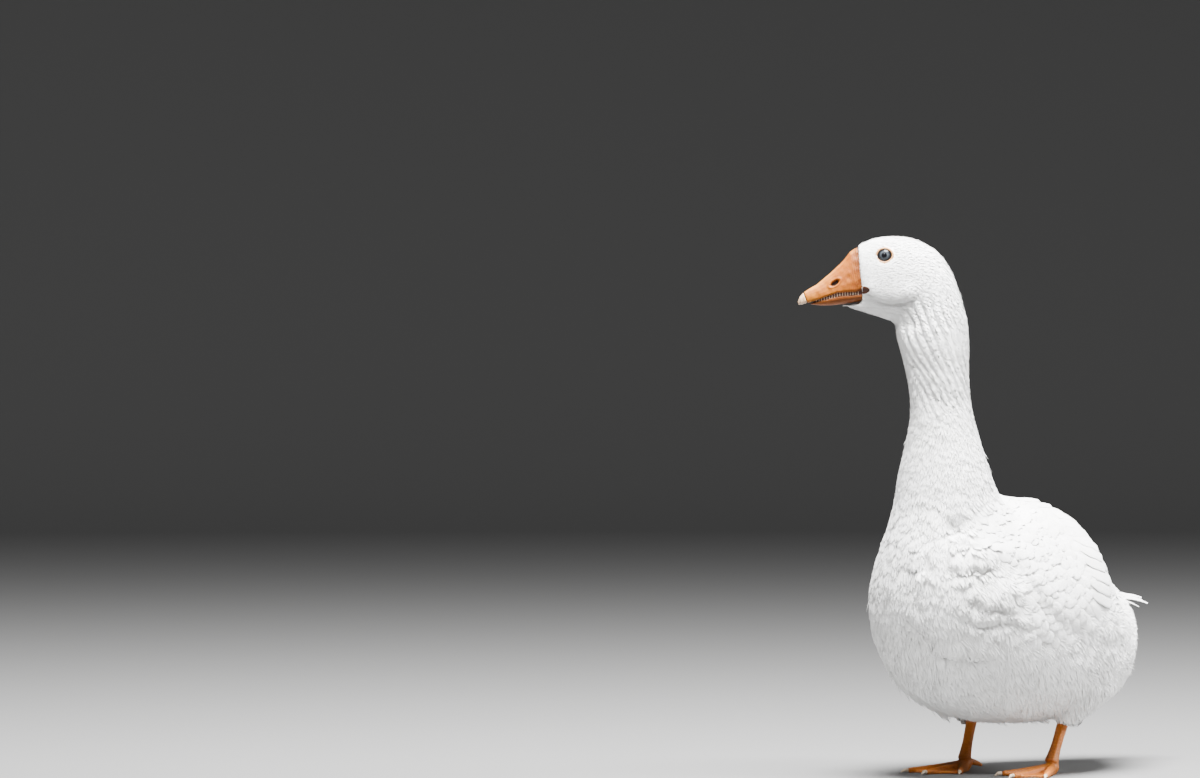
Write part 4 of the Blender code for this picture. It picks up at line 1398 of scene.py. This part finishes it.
legSettings = {
    "voxel": 0.0010, "smoothing": 4, "scuteSpacing": 0.0042, "scuteHeight": 0.00032,
    "orange": (0.56, 0.165, 0.012, 1), "pale": (0.62, 0.205, 0.024, 1), "crease": (0.36, 0.095, 0.008, 1),
    "blotches": ((0.3, (0.82, 0.76, 0.72, 1)), (0.65, (1, 1, 1, 1))),
}


def makeLegFinish():
    s = legSettings
    finish, tree, inputs = newFinish("legSkin", s["orange"], 0.48, {
        "Subsurface Weight": 0.08, "Subsurface Radius": (0.004, 0.0015, 0.0006)})
    scales = textureOn(tree, "ShaderNodeTexVoronoi", "Distance", Scale=420.0, feature="DISTANCE_TO_EDGE")
    colour = rampOn(tree, scales, ((0.0, s["crease"]), (0.10, s["orange"]), (0.55, s["pale"])))
    colour = mixedColours(tree, colour, rampOn(tree, noiseOn(tree, Scale=60.0, Detail=3.0), s["blotches"]))
    plug(tree, colour, inputs["Base Color"])
    addRelief(tree, scales, inputs, 0.6, 0.0006)
    return finish


def makeLeg(side):
    s = legSettings
    leg = joinPieces([copyOfNode("shank_" + side), copyOfNode("foot_" + side)], f"leg{side.title()}")
    mergeDoubles(leg)
    remeshed(leg, s["voxel"], s["smoothing"])
    co, normals = pointsOf(leg.data), normalsOf(leg.data)
    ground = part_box("foot_" + side)[0].z
    rise = smoothstep(0.0015, 0.004, co[:, 2])
    # rings of scutes down the shank's front, and across the toes' tops
    down = co[:, 2] + 0.35 * co[:, 1]
    bands = np.abs(np.sin(down * math.pi / s["scuteSpacing"])) ** 0.35
    onShank = smoothstep(0.018, 0.024, co[:, 2])
    across = np.abs(np.sin(co[:, 1] * math.pi / s["scuteSpacing"])) ** 0.35
    tops = smoothstep(0.2, 0.7, normals[:, 2]) * (1 - onShank)
    out = s["scuteHeight"] * ((bands - 1) * onShank + (across - 1) * tops) * rise
    moved = co + normals * out[:, None]
    moved[:, 2] = np.maximum(moved[:, 2], ground)
    moved[co[:, 2] < 0.0008, 2] = ground
    setPoints(leg.data, moved)
    shadeSmooth(leg)
    return leg


# long feathers of the wings and tail

flightSettings = {"half": 0.125, "columns": 6, "rows": 14, "thickness": 0.0055, "camber": 0.010}


def makeFlightVane(name, seed, half, columns, rows, thickness, camber, blunt=0.5):
    rng = np.random.default_rng(seed)
    vane, u, v = layGrid(name, columns, rows)
    outline = np.interp(v, (0, 0.1, 0.3, 0.6, 0.85, 0.94, 1.0), (0.14, 0.45, 0.85, 1.0, 0.95, 0.78, blunt))
    # splits where barbs have parted at the edges
    parted = rng.uniform(-1, 1, rows + 1) * (rng.random(rows + 1) < 0.3)
    edge = (np.abs(u) > 0.9) * parted[np.round(v * rows).astype(int)]
    x = (u + 0.06 * (1 - np.abs(u))) * outline * half * (1 - 0.05 * np.abs(edge))
    y = v - (v > 0.7) * (v - 0.7) / 0.3 * 0.06 * np.abs(u) ** 2 + 0.012 * edge
    z = -camber * u ** 2 + camber * 0.4 * (1 - np.abs(u)) ** 6
    wallVane(vane, x, y, z, thickness)
    liftShaft(vane, lambda x, y, z: abs(x) < half * 0.12 and z > -thickness * 0.45 and y < 0.92,
              thickness * 0.8)
    return templateOf(vane)


wingSettings = {
    # the trunk's middle line, front and back: along, height
    "middleFront": (-0.12, 0.192), "middleBack": (0.20, 0.150),
    # rows: along at bottom and top, angles from and to, count, length at bottom and top, half width, base,
    # rise towards the tip
    "rows": {
        "greaterCoverts": (-0.022, -0.004, -9, 44, 9, 0.052, 0.066, 0.0115, 0.0016, 0.0024),
        "secondaries": (0.020, 0.030, -6, 50, 9, 0.080, 0.105, 0.0125, 0.0008, 0.0020),
        "tertials": (0.016, 0.000, 44, 72, 5, 0.122, 0.132, 0.0150, 0.0012, 0.0018),
        "scapulars": (-0.030, -0.040, 50, 84, 6, 0.078, 0.088, 0.0140, 0.0010, 0.0022),
    },
    "tilt": 0.0011, "step": 0.0008,
}


def wingSpots(alongs, angles, side):
    s = wingSettings
    (front, high), (back, low) = s["middleFront"], s["middleBack"]
    spots = []
    for along, angle in zip(alongs, angles):
        height = high + (low - high) * smoothstep(front, back, along)
        origin = Vector(bodyShift + np.array((0, along, height)))
        ray = Vector((side * math.cos(angle), 0, math.sin(angle)))
        spots.append(np.array(surface.tree.ray_cast(origin, ray)[0]))
    return np.array(spots)


def layWingRow(row, side, template, seed):
    s = wingSettings
    alongLow, alongTop, angleLow, angleTop, count, lengthLow, lengthTop, half, base, rise = row
    rng = np.random.default_rng(seed)
    share = np.linspace(0, 1, count)
    alongs = alongLow + (alongTop - alongLow) * share + rng.uniform(-0.002, 0.002, count)
    angles = np.radians(angleLow + (angleTop - angleLow) * share)
    lengths = (lengthLow + (lengthTop - lengthLow) * share) * rng.uniform(0.96, 1.04, count)
    roots = wingSpots(alongs, angles, side)
    halves = np.full(count, half) * rng.uniform(0.95, 1.05, count)
    turns = rng.uniform(-0.03, 0.03, count)
    lattice = Lattice(surface, roots, lengths, halves, turns, 9, True)

    def heights(v):
        return base + rise * v[None] ** 1.1 + share[:, None] * s["step"]

    # the lower edge of each lies over the next one down
    return stamp(template, lattice, seed, heights, tilt=s["tilt"] * side)


class FreeLattice:
    def __init__(self, lines, ups, halves):
        lines, ups = np.asarray(lines, float), unit(np.asarray(ups, float))
        steps = np.gradient(lines, axis=1)
        across = unit(np.cross(steps, ups))
        ups = unit(np.cross(across, steps))
        sides = np.array((-1, 0, 1))[None, None, :, None]
        self.places = lines[:, :, None] + across[:, :, None] * sides * halves[:, None, None, None]
        self.normals = np.repeat(ups[:, :, None], 3, axis=2)
        self.lengths = np.linalg.norm(np.diff(lines, axis=1), axis=2).sum(1)
        self.rows = lines.shape[1]
        self.uv = surface.nearest(lines[:, 0])[2]


primarySettings = {
    # the folded blade's line: side, along, height
    "line": (
        (0.0740, 0.052, 0.2330), (0.0550, 0.088, 0.2360), (0.0400, 0.114, 0.2330), (0.0280, 0.140, 0.2265),
        (0.0190, 0.162, 0.2200), (0.0130, 0.182, 0.2160), (0.0090, 0.198, 0.2140)),
    "count": 6, "half": 0.0094, "step": 0.0032, "lift": 0.0008, "points": 12,
    "across": (0.90, 0.10, -0.42), "up": (0.42, 0.25, 0.87),
}


def layPrimaries(side, template, seed):
    s = primarySettings
    mirror = np.array((side, 1, 1))
    line = curveThrough(s["line"], 30)
    across, up = unit(np.array(s["across"])), unit(np.array(s["up"]))
    lines = []
    for share in np.linspace(0, 1, s["count"]).tolist():
        # each is a little shorter than the last
        own = curveThrough(line[: 30 - int(round(8 * share))], s["points"])
        shift = across * (share - 0.35) * s["step"] * 2 + up * s["lift"] * (share * 3.0 - 1.0)
        lines.append((own + shift) * mirror + bodyShift)
    ups = np.tile(up * mirror, (s["count"], s["points"], 1))
    halves = np.full(s["count"], s["half"]) * np.linspace(0.85, 1.1, s["count"])
    return stamp(template, FreeLattice(lines, ups, halves), seed)


tailSettings = {
    "root": (0.169, 0.1930), "spread": 19, "rootHalf": 0.012, "round": 0.11, "drop": 0.0050, "arch": 4000.0,
    "half": 0.0104, "outerDrop": 0.0030, "outerLength": 0.86, "points": 9, "lean": 10.4,
    # rows: length, count, height over the fan's middle, share of the half width
    "rows": {
        "tailFeathers": (0.1050, 14, 0.0010, 0.92),
        "upperFeathers": (0.0950, 7, 0.0032, 0.85),
        "coverts": (0.0720, 9, 0.0048, 0.95),
        "underCoverts": (0.0820, 9, -0.0060, 1.00),
    },
}


def layTail(row, template, seed):
    s = tailSettings
    whole, count, lift, wide = row
    rng = np.random.default_rng(seed)
    rootAlong, rootUp = s["root"]
    far = np.linspace(0.04, 1, s["points"])
    lines, ups, halves = [], [], []
    for k in range(count):
        share = 2 * k / (count - 1) - 1
        outermost = abs(share) > 0.99
        length = whole * (1 - s["round"] * share ** 2) * rng.uniform(0.92, 1.0)
        length = length * (s["outerLength"] if outermost else 1)
        angle = math.radians(s["spread"]) * share * 0.93
        x = length * math.sin(angle) * far + s["rootHalf"] * share
        y = length * math.cos(angle) * far
        z = -s["drop"] * far ** 4 - s["arch"] * x ** 4 - s["outerDrop"] * outermost * far
        # the middle ones lie on top
        z = z + 0.0022 * (0.5 - abs(share)) + rng.uniform(-0.0008, 0.0008) * far + lift * (1 - 0.35 * far)
        lines.append(np.stack((x, rootAlong + y, rootUp + z), 1) + bodyShift)
        ups.append(np.tile((s["lean"] * x[-1], 0.25, 1.0), (s["points"], 1)))
        halves.append(s["half"] * (1 - 0.15 * abs(share)) * wide)
    return stamp(template, FreeLattice(lines, ups, np.array(halves)), seed)


# build

skin = makeSkin()
handIn(skin, makeSkinFinish(), "plumage", *skinSettings["nodes"])
print(f"skin done: {len(skin.data.polygons)} faces")
surface = Surface(skin)

billFinish = makeBillFinish()
upperBill, lowerBill = makeUpperBill(), makeLowerBill()
handIn(upperBill, billFinish, "orange_skin", "bill_upper")
handIn(lowerBill, billFinish, "orange_skin", "bill_lower")
nailFinish = makeHornFinish("nailHorn", billSettings["nail"], billSettings["nailDark"], 260.0)
lamellaFinish = makeHornFinish("lamellaHorn", (0.74, 0.60, 0.46, 1), (0.52, 0.38, 0.26, 1), 400.0)
# painted shade: the mouth's inside is near-black for the shade between the mandibles
liningFinish = makeHornFinish("mouthPaintedShade", (0.10, 0.035, 0.03, 1), (0.04, 0.015, 0.012, 1), 200.0)
handIn(makeNail(), nailFinish, "horn", "bill_nail")
handIn(makeLamellae(), lamellaFinish, "horn")
handIn(makeMouthLining(), liningFinish, "orange_skin")

lidFinish = newFinish("eyeRing", eyeSettings["ring"], 0.5)[0]
for name, nodeName, side in (("Left", "eye_left", 1), ("Right", "eye_right", -1)):
    eyeCentre, eyeWay = makeEye("eye" + name, nodeName, side)
    makeLids("eyelid" + name, eyeCentre, eyeWay, lidFinish)
legFinish = makeLegFinish()
clawFinish = makeHornFinish("clawHorn", (0.70, 0.56, 0.42, 1), (0.40, 0.29, 0.20, 1), 500.0)
for side in ("left", "right"):
    handIn(makeLeg(side), legFinish, "orange_skin", "shank_" + side, "foot_" + side)
    for number in (1, 2, 3):
        claw = nodes[f"claw_{side}_{number}"]
        claw.data.materials.clear()
        claw.data.materials.append(clawFinish)
print("bill, eyes and legs done")

zones = {
    "headPlumage": ("forehead", "crown", "hindcrown", "napeTop", "lore", "brow", "behindEye", "cheek",
        "cheekLow", "ear", "chin", "throat"),
    "neckPlumage": ("throatLow", "neckHigh", "neckHighBack", "neckMidSide", "neckMidFront", "neckMidBack"),
    "lowerNeckPlumage": ("neckFront", "neckBack", "neckSide"),
    "breastPlumage": ("breastTop", "breast", "breastSide", "breastLow"),
    "bellyPlumage": ("belly", "bellySide", "vent", "underTail", "thigh"),
    "flankPlumage": ("flank", "flankBack", "rumpSide"),
    "backPlumage": ("nape", "shoulder", "back", "backLow", "rump"),
    "wingCoverts": ("wingFront", "wingMiddle", "wingBack", "wingTop"),
}
zoneOfGuide = {g: z for z, group in zones.items() for g in group}
zoneNames = list(zones)
guideZone = np.array([zoneNames.index(zoneOfGuide[g]) for g in guideNames])


def zoneAt(points):
    weight = guideWeights(points)
    return guideZone[weight.argmax(1)]


coatSettings = {
    "rows": 6, "density": 1.0, "quickDensity": 1.6, "lengthSpread": 0.12, "turnSpread": 0.16,
    "stray": 0.035, "strayPlumes": 0.008, "strayRise": 1.7,
    # how high a feather starts, and how its height grows along it
    "start": 0.0003, "risePower": 1.15,
}
sparse = coatSettings["density"]

clearSettings = {
    # the wing's long feathers take this stretch: inner side, lower edge, front, and rear end by height
    "wingIn": 0.030, "wingLow": 0.150, "wingFront": 0.030, "wingRear": ((0.205, 0.230), (0.098, 0.158)),
    "eye": 0.0112, "gape": 0.92,
}


def clearOfFlight(points):
    s = clearSettings
    aside, along, up = (points - bodyShift).T
    onWing = (np.abs(aside) > s["wingIn"]) & (up > s["wingLow"])
    return ~(onWing & (along > s["wingFront"]) & (along < np.interp(up, *s["wingRear"])))


def clearOfEyes(points):
    away = np.minimum(np.linalg.norm(points - eyeLeft, axis=1), np.linalg.norm(points - eyeRight, axis=1))
    return away > clearSettings["eye"]


def clearOfGape(points):
    ahead, _, up = headPlaces(points).T
    (gapeAhead, gapeUp), (long, tall, _) = billEdgeSettings["gape"], billEdgeSettings["gapeHalf"]
    return np.hypot((ahead - gapeAhead) / long, (up - gapeUp) / tall) > clearSettings["gape"]


def coverZone(zone, templates, aspect, seed, hug=True, wobble=1.0, rise=1.0, keep=None):
    rng = np.random.default_rng(seed)
    number = zoneNames.index(zone)
    roots = scatterRoots(surface, lambda p: zoneAt(p) == number, lambda p: coatAt(p)[1][:, 1] * sparse, rng)
    roots = roots[(zoneAt(roots) == number) & clearOfEyes(roots) & clearOfGape(roots)]
    if keep:
        roots = roots[rng.random(len(roots)) < keep(roots)]
    if zone == "wingCoverts":
        roots = roots[clearOfFlight(roots)]
    values = coatAt(roots)[1]
    s = coatSettings
    lengths = values[:, 0] * (1 + s["lengthSpread"] * rng.normal(size=len(roots)).clip(-2, 2))
    lengths, lifts = endOnFolds(roots, lengths, rng)
    turns = s["turnSpread"] * wobble * rng.normal(size=len(roots)).clip(-2, 2)
    pick = rng.integers(0, len(templates), len(roots))
    depth = values[:, 2] * rise * rng.uniform(0.8, 1.15, len(roots)) + lifts
    if templates is not vanes:
        share = s["strayPlumes"] if templates is plumes else s["stray"]
        depth = depth * np.where(rng.random(len(roots)) < share, s["strayRise"], 1.0)
    stamps = []
    for i, template in enumerate(templates):
        chosen = pick == i
        if not chosen.any():
            continue
        lattice = Lattice(surface, roots[chosen], lengths[chosen], lengths[chosen] * aspect, turns[chosen],
                          s["rows"], hug)
        own = depth[chosen]
        stamps.append(stamp(template, lattice, seed + i,
                            lambda v: s["start"] + own[:, None] * v[None] ** s["risePower"]))
    return stamps


billEdgeSettings = {
    # where the feathers start on the upper bill: height, then how far ahead
    "edgeUp": (0.5300, 0.5420, 0.5600, 0.5780, 0.5840), "edgeAhead": (0.0822, 0.0828, 0.0836, 0.0850, 0.0856),
    "spacing": 0.00085, "length": 0.0046, "halfShare": 0.17, "band": 0.0016, "turnSpread": 0.16,
    "sunk": 0.0001, "rise": 0.0011, "chinSpacing": 1.3, "chinFrom": 0.076, "chinRise": 0.0010,
    # the chin's feathers reach up to this line on the lower bill: how far ahead, then height
    "chinAhead": (0.0780, 0.0870, 0.0980, 0.1095), "chinUp": (0.5290, 0.5262, 0.5236, 0.5206),
    "gape": (0.0824, 0.5384), "gapeHalf": (0.0055, 0.0042, 0.0010), "gapeSunk": 0.0016,
}


def layBillEdge(bill, seed):
    s = billEdgeSettings
    rng = np.random.default_rng(seed)
    side = Surface(bill)

    def onEdge(points):
        ahead, _, up = headPlaces(points).T
        edge = np.interp(up, s["edgeUp"], s["edgeAhead"]) + 0.0004 * wander(points, 0.006, 3)
        return (ahead < edge + s["band"]) & (ahead > edge - 0.001) & clearOfGape(points)

    roots = scatterRoots(side, onEdge, lambda p: np.full(len(p), s["spacing"] * sparse), rng)
    roots, normals, _ = side.nearest(roots)
    lie, _ = lieAt(roots, normals)
    lie = turnedAbout(lie, normals, rng.normal(size=len(roots)) * s["turnSpread"])
    lengths = s["length"] * rng.uniform(0.85, 1.15, len(roots))
    steps = np.linspace(0, 1, 4)
    lines = roots[:, None] + lie[:, None] * (lengths[:, None] * steps)[..., None]
    lines = lines + normals[:, None] * (steps * s["rise"] - s["sunk"])[None, :, None]
    lattice = FreeLattice(lines, np.repeat(normals[:, None], 4, 1), lengths * s["halfShare"])
    return stamp(tinyLocks[0], lattice, seed)


def layChin(bill, seed):
    s = billEdgeSettings
    rng = np.random.default_rng(seed)
    side = Surface(bill)

    def underLine(points):
        ahead, _, up = headPlaces(points).T
        line = np.interp(ahead, s["chinAhead"], s["chinUp"]) + 0.0004 * wander(points, 0.006, 6)
        return (up < line) & (ahead < s["chinAhead"][-1]) & (ahead > s["chinFrom"])

    spacing = s["spacing"] * s["chinSpacing"] * sparse
    roots = scatterRoots(side, underLine, lambda p: np.full(len(p), spacing), rng)
    roots = roots[underLine(roots)]
    lengths = s["length"] * rng.uniform(0.85, 1.15, len(roots))
    turns = rng.normal(size=len(roots)) * s["turnSpread"]
    lattice = Lattice(side, roots, lengths, lengths * s["halfShare"], turns, 4, False)
    lattice.uv = surface.nearest(roots)[2]
    return stamp(tinyLocks[1], lattice, seed, lambda v: s["sunk"] + s["chinRise"] * v[None])


def makeGape(bills):
    # the fleshy corners of the mouth, that part the feathers behind the bill
    s = billEdgeSettings
    trees = [surface.tree] + [Surface(bill).tree for bill in bills]
    (ahead, up), (long, tall, thick) = s["gape"], s["gapeHalf"]
    corners = []
    for side in (-1, 1):
        bpy.ops.mesh.primitive_uv_sphere_add(segments=48, ring_count=24, radius=1)
        corner = bpy.context.object
        co = pointsOf(corner.data)
        places = []
        for x, y, z in co.tolist():
            start = Vector(fromHead(ahead + x * long, side * 0.05, up + z * tall))
            hits = [tree.ray_cast(start, Vector(-headSide * side))[0] for tree in trees]
            reach = max([(np.array(hit) - neckMiddle) @ headSide * side for hit in hits if hit] + [0.0125])
            # narrower to the rear, and sunk into the bill in front
            high = z * tall * (1 + 0.30 * x)
            sunk = s["gapeSunk"] * smoothstep(0.25, 0.95, x)
            places.append(fromHead(ahead + x * long, side * (reach + (y + 0.45) * thick - sunk), up + high))
        places = np.array(places)
        # a crease runs along the middle, where the two lips meet
        outer = co[:, 1] > 0
        crease = 0.25 + 0.75 * bump(co[:, 2], 0.45) * smoothstep(-1.0, -0.8, co[:, 0])
        places -= headSide * side * (0.0005 * crease * outer)[:, None]
        setPoints(corner.data, places)
        # painted shade: the whole gape is darkened, most along the crease where the lips meet, and it takes
        # the bill's darkest base tint
        setPointValues(corner.data, "pitShade", np.clip(crease * 1.4, 0, 1))
        for key in ("ahead", "ridge"):
            setPointValues(corner.data, key, 0 * crease)
        corners.append(corner)
    gape = joinPieces(corners, "gapeCorners")
    editAll(gape, turnFacesOut)
    shadeSmooth(gape)
    return gape


plumes = [makePlume("plume", seed, **plumeSettings) for seed in (11, 12, 13)]
locks = [makeLock("lock", seed, 4, 0.20, 0.13) for seed in (21, 22, 23)]
tinyLocks = [makeLock("tinyLock", seed, 2, 0.16, 0.22) for seed in (31, 32)]
vanes = [makeVane("vane", seed, **vaneSettings) for seed in (41, 42, 43)]
strands = [makeLock("strand", seed, 5, 0.30, 0.075) for seed in (61, 62, 63)]

handIn(makeGape((upperBill, lowerBill)), billFinish, "orange_skin")

flightVane = makeFlightVane("flightVane", 51, **flightSettings)
tailVane = makeFlightVane("tailVane", 52, **flightSettings, blunt=0.62)
shapes = (plumes[0], locks[0], tinyLocks[0], vanes[0], flightVane)
print("feather shapes done:", [sum(len(face) - 2 for face in shape["faces"]) for shape in shapes])

# the soft coat: zone, feather shapes, half width for length, seed, whether it hugs the skin, wobble, and how
# much of its shading is the body's
softCoat = (
    ("headPlumage", tinyLocks, 0.16, 101, False, 1.0, 0.70),
    ("neckPlumage", locks, 0.20, 102, True, 0.5, 0.82),
    ("lowerNeckPlumage", locks, 0.20, 108, True, 0.5, 0.82),
    ("breastPlumage", plumes, 0.30, 103, True, 1.0, 0.66),
    ("bellyPlumage", plumes, 0.30, 104, True, 1.0, 0.66),
    ("flankPlumage", plumes, 0.30, 105, True, 1.0, 0.66),
)
for zone, templates, aspect, seed, hug, wobble, soft in softCoat:
    layers = coverZone(zone, templates, aspect, seed, hug=hug, wobble=wobble)
    if templates is plumes:
        # loose ends lie over the plumes, most of all low down
        layers += coverZone(zone, strands, 0.20, seed + 50, rise=1.12, wobble=1.6,
                            keep=lambda p: 0.25 + 0.75 * smoothstep(0.28, 0.18, p[:, 2]))
    if zone == "headPlumage":
        layers += [layBillEdge(upperBill, 121), layBillEdge(lowerBill, 122), layChin(lowerBill, 123)]
    handIn(buildCoat(zone, layers, soft), softFinish, "plumage")
for zone, seed in (("backPlumage", 106), ("wingCoverts", 107)):
    handIn(buildCoat(zone, coverZone(zone, vanes, 0.32, seed)), vaneFinish, "plumage")
for name, side in (("Left", 1), ("Right", -1)):
    rows = [layWingRow(row, side, flightVane, 201 + i) for i, row in enumerate(wingSettings["rows"].values())]
    handIn(buildCoat("wingFeathers" + name, rows), vaneFinish, "plumage")
    blade = buildCoat("primaries" + name, [layPrimaries(side, flightVane, 211)], soft=0)
    shadeSmooth(blade, 40)
    handIn(blade, vaneFinish, "plumage", "primaries_" + name.lower())
tailRows = [layTail(row, tailVane, 221 + i) for i, row in enumerate(tailSettings["rows"].values())]
tail = buildCoat("tailFeathers", tailRows, soft=0)
shadeSmooth(tail, 40)
handIn(tail, vaneFinish, "plumage", "tail")
